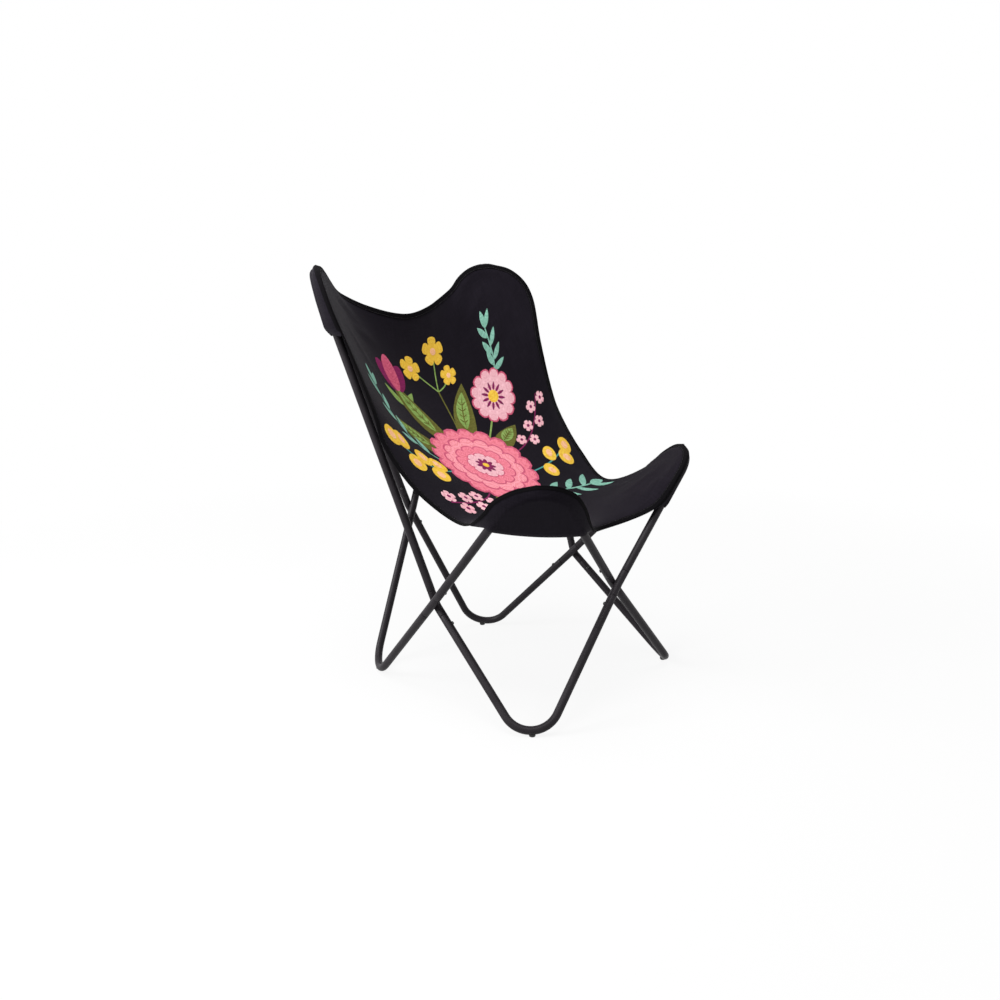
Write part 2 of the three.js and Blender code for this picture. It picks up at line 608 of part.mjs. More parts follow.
for (const [name, tip] of Object.entries(tips)) {
  const [depth, sideDepth, flareOut] = name.startsWith('back')
    ? [BACK_POCKET_DEPTH, BACK_POCKET_DEPTH, BACK_POCKET_FLARE]
    : [FRONT_POCKET_DEPTH, FRONT_POCKET_SIDE_DEPTH, FRONT_POCKET_FLARE];
  const stationAt = (i) => rimStations[(i + rim.length) % rim.length];
  const depthAt = (i) => tip.depthOf(stationAt(i).point);
  const mouthAt = (i) => (tip.acrossOf(stationAt(i).point) < 0 ? sideDepth : depth);
  const mouthBetween = (within, beyond) => {
    const share = (mouthAt(beyond) - depthAt(within)) / (depthAt(beyond) - depthAt(within));
    const blend = (key) => stationAt(within)[key].clone().lerp(stationAt(beyond)[key], share);
    const [normal, outward] = [blend('normal').normalize(), blend('outward').normalize()];
    return { point: blend('point'), normal, outward };
  };
  let first = corners[name];
  let final = corners[name];
  while (depthAt(first - 1) < mouthAt(first - 1)) first -= 1;
  while (depthAt(final + 1) < mouthAt(final + 1)) final += 1;
  const stations = [mouthBetween(first, first - 1)];
  for (let i = first; i <= final; i++) stations.push(stationAt(i));
  stations.push(mouthBetween(final, final + 1));
  const points = [];
  const rings = stations.map(({ point, normal, outward }) => {
    const { out, axis } = nearestOnTip(tip, point);
    const edge = along(point, normal, -layerStep);
    const flare = flareOut * (Math.max(tip.depthOf(axis), 0) / depth) ** 2;
    const start = points.length;
    points.push(
      edge,
      along(edge, outward, -TAPE_LEG - CANVAS_GAP),
      along(along(axis, out, wrapR), tip.inside, -wrapFlat - flare),
      along(along(axis, out, wrapFlat), tip.inside, -wrapR - flare),
    );
    return [start, start + 1, start + 2, start + 3];
  });
  const faces = rings.slice(1).flatMap((ring, i) => strip(rings[i], ring));
  const last = rings.length - 1;
  const seams = [];
  for (let i = 0; i < last / 2 - 0.5; i++) {
    const middle = points[rings[i][3]].clone().lerp(points[rings[last - i][3]], 0.5);
    seams.push(points.push(i === 0 ? along(middle, tip.down, MOUTH_BULGE) : middle) - 1);
    if (i > 0) {
      faces.push(...strip([rings[i - 1][3], seams[i - 1]], [rings[i][3], seams[i]]));
      faces.push(...strip([seams[i - 1], rings[last - i + 1][3]], [seams[i], rings[last - i][3]]));
    }
  }
  const top = seams.length;
  for (let i = top - 1; i <= last - top; i++) faces.push([rings[i][3], seams[top - 1], rings[i + 1][3]]);
  addPart(`${name}_pocket`, sheetSolid(points, faces, CANVAS_T), canvas);
}

// Binding: tape turned over the edge of the sling and down past the edge of the pockets
const tapeTop = CANVAS_T / 2 + TAPE_FIT;
const tapeFoot = -CANVAS_T / 2 - layerStep;
const tapeOut = TAPE_FIT + TAPE_T;
const section = [[-TAPE_LEG, tapeTop], [TAPE_FIT, tapeTop], [TAPE_FIT, tapeFoot],
  [tapeOut, tapeFoot], [tapeOut, tapeTop + TAPE_T], [-TAPE_LEG, tapeTop + TAPE_T]];
const tapePoints = rimStations.flatMap(({ point, normal, outward }) =>
  section.map(([out, up]) => along(along(point, outward, out), normal, up)));
const tapeFaces = rimStations.flatMap((_, i) => {
  const ring = (station) => [...section.keys(), 0].map((k) => (station % rim.length) * section.length + k);
  return strip(ring(i + 1), ring(i));
});
const binding = new THREE.BufferGeometry().setFromPoints(tapePoints).setIndex(tapeFaces.flat());
addPart('edge_binding', binding, tape);

// Stand the chair over the origin
const box = new THREE.Box3().setFromObject(chair);
const centre = box.getCenter(vec(0, 0, 0));
for (const mesh of chair.children) mesh.geometry.translate(-centre.x, -centre.y, -box.min.z);

export default chair;
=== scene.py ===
"""Butterfly sling chair: steel tube that plugs together at four crossings, and a canvas sling on its tips."""
import math

import bpy
import numpy as np
from mathutils import Matrix, Vector
from mathutils.bvhtree import BVHTree


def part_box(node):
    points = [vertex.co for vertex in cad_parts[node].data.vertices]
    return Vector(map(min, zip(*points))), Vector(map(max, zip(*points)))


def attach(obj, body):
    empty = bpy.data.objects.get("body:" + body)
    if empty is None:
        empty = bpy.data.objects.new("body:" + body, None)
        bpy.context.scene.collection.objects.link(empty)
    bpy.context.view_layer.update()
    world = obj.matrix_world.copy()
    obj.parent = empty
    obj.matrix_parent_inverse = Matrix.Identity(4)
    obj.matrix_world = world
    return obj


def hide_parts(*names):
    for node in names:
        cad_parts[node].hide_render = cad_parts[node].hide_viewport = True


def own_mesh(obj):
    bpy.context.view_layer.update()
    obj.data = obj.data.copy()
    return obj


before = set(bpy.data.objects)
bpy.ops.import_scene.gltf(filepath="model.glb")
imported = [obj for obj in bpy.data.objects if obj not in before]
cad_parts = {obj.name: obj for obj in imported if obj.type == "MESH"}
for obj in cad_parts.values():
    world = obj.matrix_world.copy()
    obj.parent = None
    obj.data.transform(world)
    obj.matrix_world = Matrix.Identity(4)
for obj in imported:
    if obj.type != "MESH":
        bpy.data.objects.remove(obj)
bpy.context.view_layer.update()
bpy.ops.object.select_all(action="DESELECT")


# The studio: a white floor that runs into a white wall, with one soft box overhead and one at the left. The
# floor and the wall are white to the camera and in reflections, and the floor keeps a faint part of the
# chair's shadow.
mm = 0.001
FLOOR_WIDE = 14
FRONT_FOOT_X, FRONT_FOOT_Y = 254, 261
glide_low, glide_high = (Vector(corner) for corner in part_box("front_left_foot_glide"))
stand = (glide_low + glide_high) / 2 + Vector((FRONT_FOOT_X * mm, FRONT_FOOT_Y * mm, 0))
stand.z = 0


def spot(x, y, z):
    """Place on the chair, in millimetres about the middle of its crossings."""
    return Vector((x, y, z)) * mm + stand


def node(tree, kind, inputs=None, **settings):
    """Shader node with its settings, and its sockets set or linked."""
    made = tree.nodes.new("ShaderNode" + kind)
    for name, value in settings.items():
        setattr(made, name, value)
    for name, value in (inputs or {}).items():
        if isinstance(value, bpy.types.NodeSocket):
            tree.links.new(value, made.inputs[name])
        else:
            made.inputs[name].default_value = value
    return made


def seen_directly(tree):
    """1 for rays from the camera, and for those that metal or glass sends on."""
    path = node(tree, "LightPath").outputs
    either = node(tree, "Math", {0: path["Is Camera Ray"], 1: path["Is Glossy Ray"]}, operation="MAXIMUM")
    seen = node(tree, "Math", {0: either.outputs[0], 1: path["Is Transmission Ray"]}, operation="MAXIMUM")
    return seen.outputs[0]


bpy.ops.mesh.primitive_plane_add(size=FLOOR_WIDE)
floor = bpy.context.object
floor.name = "studio_floor"
floor_paint = bpy.data.materials.new("white_floor")
floor_paint.use_nodes = True
tree = floor_paint.node_tree
tree.nodes.clear()
matt = node(tree, "BsdfDiffuse", {"Color": (0.7, 0.7, 0.7, 1)})
bright = node(tree, "Emission", {"Color": (1, 1, 1, 1), "Strength": 1.0})
place = node(tree, "TexCoord").outputs["Object"]
away = node(tree, "VectorMath", {0: place}, operation="LENGTH").outputs["Value"]
keep = node(tree, "MapRange", {"Value": away, "From Min": 0.7, "From Max": 2.2, "To Min": 0.9, "To Max": 1.0})
lift = node(tree, "Math", {0: seen_directly(tree), 1: keep.outputs[0]}, operation="MULTIPLY")
mixed = node(tree, "MixShader", {0: lift.outputs[0], 1: matt.outputs[0], 2: bright.outputs[0]})
node(tree, "OutputMaterial", {"Surface": mixed.outputs[0]})
floor.data.materials.append(floor_paint)

world = bpy.data.worlds.new("white_studio")
bpy.context.scene.world = world
world.use_nodes = True
tree = world.node_tree
tree.nodes.clear()
room = node(tree, "Background", {"Color": (1, 1, 1, 1), "Strength": 0.29})
wall = node(tree, "Background", {"Color": (1, 1, 1, 1), "Strength": 1.0})
mixed = node(tree, "MixShader", {0: seen_directly(tree), 1: room.outputs[0], 2: wall.outputs[0]})
node(tree, "OutputWorld", {"Surface": mixed.outputs[0]})


def soft_box(name, place, aim, size, watts):
    """Hangs a round soft box that faces a place."""
    bpy.ops.object.light_add(type="AREA", location=place)
    lamp = bpy.context.object
    lamp.name = name
    lamp.rotation_euler = (Vector(place) - Vector(aim)).to_track_quat("Z", "Y").to_euler()
    lamp.data.shape = "DISK"
    lamp.data.size = size
    lamp.data.energy = watts


soft_box("overhead_box", (-0.6, -0.1, 3.0), (0, 0, 0.4), 2.4, 86)
soft_box("left_box", (-2.4, 1.5, 1.7), (0, 0, 0.5), 1.4, 100)

LOOK_ROUND, LOOK_DOWN = math.radians(-52.64), math.radians(13.81)
back = Vector((math.sin(LOOK_ROUND) * math.cos(LOOK_DOWN), -math.cos(LOOK_ROUND) * math.cos(LOOK_DOWN),
               math.sin(LOOK_DOWN)))
bpy.ops.object.camera_add(location=spot(-1769.5, -1377.9, 903.9), rotation=back.to_track_quat("Z", "Y").to_euler())
camera = bpy.context.object
camera.data.sensor_width = 36
camera.data.lens = 37.859
camera.data.shift_x = -0.01585
camera.data.shift_y = 0.01593
camera.data.dof.use_dof = False
bpy.context.scene.camera = camera
bpy.context.scene.view_settings.view_transform = "Standard"


# The feet and the tips: eight hairpins of 17 mm steel tube, bent cold over a former and powder coated black.
# Each has two straight arms, open at the end, that push over the plugs of the crossings. A drilled hole near
# the end of each arm takes a snap button, and each foot has one more hole underneath for its glide.
TUBE_R = 8.5 * mm
TUBE_WALL = 1.2 * mm
TUBE_SIDES = 32
SEAM = 30 * mm
SEAM_GAP = 0.3 * mm
BUTTON_OUT = 52 * mm
HOLE_R = 3.55 * mm
HOLE_SIDES = 24
HOLE_BAND = 6 * mm
PEG_HOLE_R = 2.8 * mm
DEBURR = 0.25 * mm
BEND_R = {"foot": 58 * mm, "tip": 68 * mm}
BEND_STEPS = 20
FITTING_ROUNDS = 60
FOOT_Z = 12.5
HALF_LAP = 8.0
crossings = {
    "left": {"outer": spot(-249 - HALF_LAP, -6, 214), "inner": spot(-249 + HALF_LAP, -6, 214)},
    "right": {"outer": spot(249 + HALF_LAP, -6, 214), "inner": spot(249 - HALF_LAP, -6, 214)},
    "front": {"outer": spot(0, -284 - HALF_LAP, 253.5), "inner": spot(0, -284 + HALF_LAP, 253.5)},
    "back": {"outer": spot(0, 285 + HALF_LAP, 335.5), "inner": spot(0, 285 - HALF_LAP, 335.5)},
}
hairpins = {
    "front_left_foot": {"peak": spot(-FRONT_FOOT_X, -FRONT_FOOT_Y, FOOT_Z),
                        "arms": (("left", "inner"), ("front", "outer"))},
    "front_right_foot": {"peak": spot(FRONT_FOOT_X, -FRONT_FOOT_Y, FOOT_Z),
                         "arms": (("right", "outer"), ("front", "inner"))},
    "back_left_foot": {"peak": spot(-185, 221, FOOT_Z), "arms": (("left", "outer"), ("back", "inner"))},
    "back_right_foot": {"peak": spot(185, 221, FOOT_Z), "arms": (("right", "inner"), ("back", "outer"))},
    "front_left_tip": {"peak": spot(-270, -280, 484), "arms": (("left", "outer"), ("front", "inner"))},
    "front_right_tip": {"peak": spot(270, -280, 484), "arms": (("right", "inner"), ("front", "outer"))},
    "back_left_tip": {"peak": spot(-276, 272, 870.6), "arms": (("left", "inner"), ("back", "outer"))},
    "back_right_tip": {"peak": spot(276, 272, 870.6), "arms": (("right", "outer"), ("back", "inner"))},
}

for name, pin in hairpins.items():
    kind = name.split("_")[-1]
    ends = [crossings[side][layer] for side, layer in pin["arms"]]
    pin["bend"] = BEND_R[kind]
    pin["corner"] = pin["peak"].copy()
    for _ in range(FITTING_ROUNDS):
        runs = [(end - pin["corner"]).normalized() for end in ends]
        half = runs[0].angle(runs[1]) / 2
        pin["corner"] = pin["peak"] - (runs[0] + runs[1]).normalized() * pin["bend"] * (1 / math.sin(half) - 1)
    pin["runs"], pin["half"] = runs, half
    pin["joints"] = []
    for i, (side, layer) in enumerate(pin["arms"]):
        inward = (runs[1 - i] - runs[i] * runs[1 - i].dot(runs[i])).normalized()
        label = f"{name.rsplit('_', 1)[0]}_{side}_{'lower' if kind == 'foot' else 'upper'}"
        pin["joints"].append({"label": label, "side": side, "layer": layer, "cross": ends[i],
                              "outward": -runs[i], "inward": inward})
all_joints = [joint for pin in hairpins.values() for joint in pin["joints"]]


def push(by):
    """Draws the chosen ring of tube out by a distance."""
    bpy.ops.mesh.extrude_region_move(TRANSFORM_OT_translate={"value": by})


def push_past(way, stops):
    """Draws the chosen ring along a way, with a new ring at each stop."""
    for here, there in zip(stops, stops[1:]):
        push(way * abs(there - here))


def ring_at(radius, place, facing, sides=TUBE_SIDES):
    """Starts a piece as one open ring, in edit mode."""
    bpy.ops.mesh.primitive_circle_add(
        vertices=sides, radius=radius, location=place, rotation=facing.to_track_quat("Z", "Y").to_euler())
    bpy.ops.object.transform_apply(location=True, rotation=True, scale=True)
    bpy.ops.object.mode_set(mode="EDIT")
    bpy.ops.mesh.select_all(action="SELECT")
    return bpy.context.object


def bend_middle(corner, start, end, bend):
    """Middle of the circle that the bend at a corner follows."""
    return corner + (start + end).normalized() * bend / math.sin(start.angle(end) / 2)


def round_bend(corner, start, end, bend, steps):
    """Turns the chosen ring round the bend at a corner."""
    bpy.ops.mesh.spin(steps=steps, angle=start.angle(end) - math.pi, center=bend_middle(corner, start, end, bend),
                      axis=(-start).cross(end).normalized())


def close_piece(name):
    """Leaves edit mode with the faces outwards, and names the piece."""
    bpy.ops.mesh.select_all(action="SELECT")
    bpy.ops.mesh.normals_make_consistent(inside=False)
    bpy.ops.object.mode_set(mode="OBJECT")
    piece = bpy.context.object
    piece.name = piece.data.name = name
    return piece


def only(piece):
    """Makes this piece the one that the next tool works on."""
    bpy.ops.object.select_all(action="DESELECT")
    piece.select_set(True)
    bpy.context.view_layer.objects.active = piece


def work(piece, kind, **settings):
    """Puts a modifier on a piece and applies it."""
    only(piece)
    modifier = piece.modifiers.new(kind.lower(), kind)
    for name, value in settings.items():
        setattr(modifier, name, value)
    bpy.ops.object.modifier_apply(modifier=modifier.name)


def hollow(piece):
    """Gives a drawn tube its wall, inwards from its outside."""
    work(piece, "SOLIDIFY", thickness=TUBE_WALL, offset=-1, use_even_offset=True)


def combine(piece, tool, operation):
    """Joins a tool shape to a piece or cuts it away, and removes the tool shape."""
    work(piece, "BOOLEAN", object=tool, operation=operation, solver="EXACT")
    bpy.data.objects.remove(tool)
    only(piece)


def drill(piece, place, direction, radius):
    """Drills a round hole from a place inside the tube out through one wall."""
    depth = 2 * TUBE_R
    bpy.ops.mesh.primitive_cylinder_add(
        vertices=HOLE_SIDES, radius=radius, depth=depth, location=place + direction * depth / 2,
        rotation=direction.to_track_quat("Z", "Y").to_euler())
    combine(piece, bpy.context.object, "DIFFERENCE")


def deburr(piece, degrees):
    """Breaks the edges that are sharper than this."""
    work(piece, "BEVEL", width=DEBURR, segments=2, limit_method="ANGLE", angle_limit=math.radians(degrees))


def smooth(degrees=40):
    """Shades the piece in hand as one smooth surface, apart from edges sharper than this."""
    bpy.ops.object.shade_smooth_by_angle(angle=math.radians(degrees))


def new_finish(name):
    """Starts a finish, and gives its nodes and its main shader with it."""
    material = bpy.data.materials.new(name)
    material.use_nodes = True
    return material, material.node_tree, material.node_tree.nodes["Principled BSDF"]


def noise(tree, place, scale, detail, roughness=0.5):
    """Random grain, as a value about a half."""
    settings = {"Vector": place, "Scale": scale, "Detail": detail, "Roughness": roughness}
    return node(tree, "TexNoise", settings).outputs["Fac"]


def tones(tree, value, stops, dark, light):
    """Colour that runs from dark to light as a value rises between two stops."""
    ramp = node(tree, "ValToRGB", {"Fac": value})
    for mark, stop, colour in zip(ramp.color_ramp.elements, stops, (dark, light)):
        mark.position, mark.color = stop, (*colour, 1)
    return ramp.outputs["Color"]


def dull(tree, shader, value, low, high):
    """Lets the roughness of a finish follow a value."""
    rough = node(tree, "MapRange", {"Value": value, "To Min": low, "To Max": high})
    tree.links.new(rough.outputs[0], shader.inputs["Roughness"])


def emboss(tree, shader, height, strength, depth):
    """Raises and sinks the skin of a finish."""
    bump = node(tree, "Bump", {"Height": height, "Strength": strength, "Distance": depth})
    tree.links.new(bump.outputs[0], shader.inputs["Normal"])


def finish_piece(piece, material, body="chair"):
    """Gives a piece its finish and the body that it moves with."""
    piece.data.materials.clear()
    piece.data.materials.append(material)
    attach(piece, body)


powder_coat, tree, coat = new_finish("satin_black_powder_coat")
place = node(tree, "TexCoord").outputs["Object"]
drift = noise(tree, place, 22.0, 4.0, 0.6)
shade = tones(tree, drift, (0.3, 0.75), (0.0138, 0.0118, 0.0140), (0.0244, 0.0208, 0.0248))
height = node(tree, "SeparateXYZ", {"Vector": place}).outputs["Z"]
scrapes = noise(tree, place, 320.0, 5.0, 0.7)
near_floor = node(tree, "MapRange", {"Value": height, "From Min": 0.030, "From Max": 0.004, "To Max": 0.75})
scuff = node(tree, "Math", {0: scrapes, 1: near_floor.outputs[0]}, operation="MULTIPLY")
scuffed = node(tree, "MapRange", {"Value": scuff.outputs[0], "From Min": 0.28, "From Max": 0.46})
colour = node(tree, "MixRGB", {0: scuffed.outputs[0], 1: shade, 2: (0.055, 0.053, 0.052, 1)})
tree.links.new(colour.outputs[0], coat.inputs["Base Color"])
dull(tree, coat, drift, 0.36, 0.52)
emboss(tree, coat, noise(tree, place, 950.0, 2.0), 0.16, 0.0003)
coat.inputs["Specular IOR Level"].default_value = 0.12

for name, pin in hairpins.items():
    start, end = (joint["cross"] + joint["outward"] * (SEAM + SEAM_GAP) for joint in pin["joints"])
    to_start, to_end = pin["runs"]
    tangent = pin["bend"] / math.tan(pin["half"])
    stops = (0, BUTTON_OUT - SEAM - HOLE_BAND, BUTTON_OUT - SEAM + HOLE_BAND)
    ring_at(TUBE_R, start, to_start)
    push_past(-to_start, (*stops, (start - pin["corner"]).length - tangent))
    round_bend(pin["corner"], to_start, to_end, pin["bend"], BEND_STEPS)
    push_past(to_end, ((end - pin["corner"]).length - tangent, *reversed(stops)))
    tube = close_piece(f"{name}_bent_tube")
    hollow(tube)
    for joint in pin["joints"]:
        drill(tube, joint["cross"] + joint["outward"] * BUTTON_OUT, joint["inward"], HOLE_R)
    if name.endswith("foot"):
        drill(tube, pin["peak"], Vector((0, 0, -1)), PEG_HOLE_R)
    deburr(tube, 50)
    smooth()
    finish_piece(tube, powder_coat)
    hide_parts(f"{name}_tube")


# The crossings: two short tubes lie across each other and are welded where they touch. Both ends of each are
# necked down to plugs that slide inside the arms of the feet and the tips, so that the frame packs flat.
CROSS_BEND = 40 * mm
CROSS_STEPS = 6
PLUG_R = 7.0 * mm
PLUG_STOPS = (76 * mm, BUTTON_OUT + HOLE_BAND, BUTTON_OUT - HOLE_BAND, SEAM)
SHOULDER = 1.3 * mm
SHOULDER_R = TUBE_R - SHOULDER
WELD_RINGS = ((5.6, -3.5), (5.2, -2.2), (4.6, -0.9), (4.6, 0.9), (5.2, 2.2), (5.6, 3.5))
WELD_SIDES = 28
WELD_RIPPLE = 1.07
SLIVER = 0.003 * mm


def widen(scale, middle):
    """Opens or closes the chosen ring about its middle."""
    bpy.ops.transform.resize(value=(scale, scale, scale), center_override=middle)


def swage(scale, middle):
    """Necks the end of the tube up or down in one step."""
    push((0, 0, 0))
    widen(scale, middle)


def turned(name, rings, base, axis, sides):
    """Solid turned about an axis, from its radii and heights in millimetres."""
    ring_at(rings[0][0] * mm, base + axis * rings[0][1] * mm, axis, sides)
    bpy.ops.mesh.edge_face_add()
    for (radius, at), (next_radius, next_at) in zip(rings, rings[1:]):
        push(axis * (next_at - at) * mm)
        widen(next_radius / radius, base + axis * next_at * mm)
    return close_piece(name)


def trim_slivers():
    """Closes up the hair-thin faces that cutting and joining leave."""
    bpy.ops.object.mode_set(mode="EDIT")
    bpy.ops.mesh.select_all(action="SELECT")
    bpy.ops.mesh.remove_doubles(threshold=SLIVER)
    bpy.ops.object.mode_set(mode="OBJECT")


for side, pair in crossings.items():
    runs = []
    joints = [joint for joint in all_joints if joint["side"] == side]
    for layer, cross in pair.items():
        out_a, out_b = (joint["outward"] for joint in joints if joint["layer"] == layer)
        straight = SEAM - SHOULDER - CROSS_BEND / math.tan(out_a.angle(out_b) / 2)
        ring_at(PLUG_R, cross + out_a * PLUG_STOPS[0], out_a)
        push_past(-out_a, PLUG_STOPS)
        swage(SHOULDER_R / PLUG_R, cross + out_a * SEAM)
        push(-out_a * SHOULDER)
        widen(TUBE_R / SHOULDER_R, cross + out_a * (SEAM - SHOULDER))
        push(-out_a * straight)
        round_bend(cross, out_a, out_b, CROSS_BEND, CROSS_STEPS)
        push(out_b * straight)
        push(out_b * SHOULDER)
        widen(SHOULDER_R / TUBE_R, cross + out_b * SEAM)
        swage(PLUG_R / SHOULDER_R, cross + out_b * SEAM)
        push_past(out_b, PLUG_STOPS[::-1])
        run = close_piece(f"{side}_{layer}_run")
        hollow(run)
        runs.append(run)
    middle = (pair["outer"] + pair["inner"]) / 2
    across = (pair["inner"] - pair["outer"]).normalized()
    bead = turned(f"{side}_weld", WELD_RINGS, middle, across, WELD_SIDES)
    for i, corner in enumerate(bead.data.vertices):
        if i % 2:
            out = corner.co - middle
            corner.co += (out - across * out.dot(across)) * (WELD_RIPPLE - 1)
    connector = runs[0]
    combine(connector, runs[1], "UNION")
    combine(connector, bead, "UNION")
    for joint in joints:
        drill(connector, joint["cross"] + joint["outward"] * BUTTON_OUT, joint["inward"], HOLE_R)
    deburr(connector, 60)
    trim_slivers()
    smooth()
    connector.name = connector.data.name = f"{side}_welded_crossing"
    finish_piece(connector, powder_coat)
    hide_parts(f"{side}_cross_connector")


# The snap buttons: sixteen turned steel pins with rounded heads that stand through the arms and the plugs.
# A thumb presses one back against its spring to free the arm.
BUTTON_R = 3.2 * mm
BUTTON_BASE = 4.3 * mm
BUTTON_TOP = 11.1 * mm
BUTTON_SIDES = 28
BUTTON_DOME = 1.8 * mm
DOME_STEPS = 5
FACING_UP = 0.9

button_steel, tree, pin_steel = new_finish("burnished_button_steel")
place = node(tree, "TexCoord").outputs["Object"]
specks = noise(tree, place, 700.0, 4.0, 0.65)
worn = tones(tree, specks, (0.35, 0.7), (0.030, 0.030, 0.033), (0.120, 0.118, 0.116))
tree.links.new(worn, pin_steel.inputs["Base Color"])
dull(tree, pin_steel, specks, 0.26, 0.46)
emboss(tree, pin_steel, specks, 0.1, 0.0002)
pin_steel.inputs["Metallic"].default_value = 1.0


def copy_to(pattern, name, place, turn):
    """Copies a pattern, with a mesh of its own, to its place."""
    piece = pattern.copy()
    piece.data = pattern.data.copy()
    piece.name = piece.data.name = name
    piece.data.transform(Matrix.Translation(place) @ turn.to_4x4())
    bpy.context.scene.collection.objects.link(piece)
    return piece


height = BUTTON_TOP - BUTTON_BASE
bpy.ops.mesh.primitive_cylinder_add(
    vertices=BUTTON_SIDES, radius=BUTTON_R, depth=height, location=(0, 0, height / 2))
bpy.ops.object.transform_apply(location=True, rotation=True, scale=True)
first_button = bpy.context.object
for polygon in first_button.data.polygons:
    polygon.select = polygon.normal.z > FACING_UP
bpy.ops.object.mode_set(mode="EDIT")
bpy.ops.mesh.bevel(offset=BUTTON_DOME, segments=DOME_STEPS, affect="EDGES")
close_piece("snap_button_pattern")
smooth()
for joint in all_joints:
    foot = joint["cross"] + joint["outward"] * BUTTON_OUT + joint["inward"] * BUTTON_BASE
    turn = joint["inward"].to_track_quat("Z", "Y").to_matrix()
    button = copy_to(first_button, f"{joint['label']}_domed_button", foot, turn)
    finish_piece(button, button_steel, f"{joint['label']}_snap_button_body")
    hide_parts(f"{joint['label']}_snap_button")
bpy.data.objects.remove(first_button)


# The button springs: strips of blued spring steel bent to a hairpin, one inside each plug. The lower leaf lies
# on the far wall of the bore, and the upper leaf holds the button out and flattens as it is pressed.
LEAF_W = 4.6 * mm
LEAF_T = 0.6 * mm
LEAF_LIP = 4.5 * mm
LEAF_BACK = 26 * mm
LEAF_HIGH = 3.7 * mm
LEAF_LOW = -4.7 * mm
LEAF_TURN_R = 2.4 * mm
LEAF_TURN_STEPS = 10
LEAF_CORNER_R = 1.4 * mm
LEAF_CORNER_STEPS = 4

spring_steel, tree, leaf = new_finish("blued_spring_steel")
place = node(tree, "TexCoord").outputs["Object"]
temper = noise(tree, place, 180.0, 3.0, 0.6)
blue = tones(tree, temper, (0.3, 0.7), (0.20, 0.20, 0.21), (0.34, 0.335, 0.33))
tree.links.new(blue, leaf.inputs["Base Color"])
dull(tree, leaf, temper, 0.28, 0.42)
leaf.inputs["Metallic"].default_value = 1.0


def choose_corners(piece, test):
    """Chooses only the corners of a piece that pass a test, and goes into edit mode."""
    for part in (*piece.data.polygons, *piece.data.edges):
        part.select = False
    for corner in piece.data.vertices:
        corner.select = test(corner.co)
    bpy.ops.object.mode_set(mode="EDIT")


bpy.ops.object.select_all(action="DESELECT")
bpy.ops.mesh.primitive_plane_add(size=1, location=(0, 0, LEAF_HIGH))
first_spring = bpy.context.object
first_spring.scale = (2 * LEAF_LIP, LEAF_W, 1)
bpy.ops.object.transform_apply(location=True, rotation=True, scale=True)
choose_corners(first_spring, lambda place: place.x < 0)
push((LEAF_LIP - LEAF_BACK, 0, LEAF_LOW + 2 * LEAF_TURN_R - LEAF_HIGH))
bpy.ops.mesh.spin(
    steps=LEAF_TURN_STEPS, angle=math.pi, center=(-LEAF_BACK, 0, LEAF_LOW + LEAF_TURN_R), axis=(0, -1, 0))
push((LEAF_LIP + LEAF_BACK, 0, 0))
close_piece("hairpin_spring_pattern")
choose_corners(first_spring, lambda place: place.x > LEAF_LIP - DEBURR)
bpy.ops.mesh.bevel(offset=LEAF_CORNER_R, segments=LEAF_CORNER_STEPS, affect="VERTICES")
close_piece("hairpin_spring_pattern")
work(first_spring, "SOLIDIFY", thickness=LEAF_T, offset=0)
smooth()
for joint in all_joints:
    seat = joint["cross"] + joint["outward"] * BUTTON_OUT
    sideways = joint["inward"].cross(joint["outward"])
    turn = Matrix((joint["outward"], sideways, joint["inward"])).transposed()
    spring = copy_to(first_spring, f"{joint['label']}_hairpin_spring", seat, turn)
    finish_piece(spring, spring_steel)
    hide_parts(f"{joint['label']}_button_spring")
    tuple(joint["inward"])
    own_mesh(spring)
bpy.data.objects.remove(first_spring)


# The glides: black nylon pads under the feet, moulded to the tube's curve. Each has a peg that pushes into
# a hole under the bend, and the rim is rounded where it slides on the floor.
GLIDE_RINGS = ((4.0, 0.0), (5.3, 0.35), (6.2, 1.1), (6.5, 2.2), (6.5, 5.5))
GLIDE_SIDES = 36
SADDLE_FIT = 0.3 * mm
SADDLE_STEPS, SADDLE_SIDES = 160, 48
PEG_R = 2.5 * mm
PEG_FOOT, PEG_TOP = 2.0 * mm, 8.0 * mm
PEG_SIDES = 24

nylon, tree, pad_skin = new_finish("black_nylon")
place = node(tree, "TexCoord").outputs["Object"]
dust = noise(tree, place, 260.0, 4.0, 0.65)
rub = tones(tree, dust, (0.4, 0.8), (0.008, 0.008, 0.008), (0.030, 0.029, 0.028))
tree.links.new(rub, pad_skin.inputs["Base Color"])
dull(tree, pad_skin, dust, 0.5, 0.7)
emboss(tree, pad_skin, noise(tree, place, 1100.0, 2.0), 0.15, 0.0002)

up = Vector((0, 0, 1))
for name, pin in hairpins.items():
    if not name.endswith("foot"):
        continue
    base = Vector((pin["peak"].x, pin["peak"].y, 0))
    glide = turned(f"{name}_nylon_glide", GLIDE_RINGS, base, up, GLIDE_SIDES)
    to_start, to_end = pin["runs"]
    bpy.ops.mesh.primitive_torus_add(
        location=bend_middle(pin["corner"], to_start, to_end, pin["bend"]),
        rotation=to_start.cross(to_end).to_track_quat("Z", "Y").to_euler(), major_segments=SADDLE_STEPS,
        minor_segments=SADDLE_SIDES, major_radius=pin["bend"], minor_radius=TUBE_R + SADDLE_FIT)
    combine(glide, bpy.context.object, "DIFFERENCE")
    bpy.ops.mesh.primitive_cylinder_add(
        vertices=PEG_SIDES, radius=PEG_R, depth=PEG_TOP - PEG_FOOT, location=base + up * (PEG_TOP + PEG_FOOT) / 2)
    combine(glide, bpy.context.object, "UNION")
    trim_slivers()
    smooth()
    finish_piece(glide, nylon)
    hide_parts(f"{name}_glide")


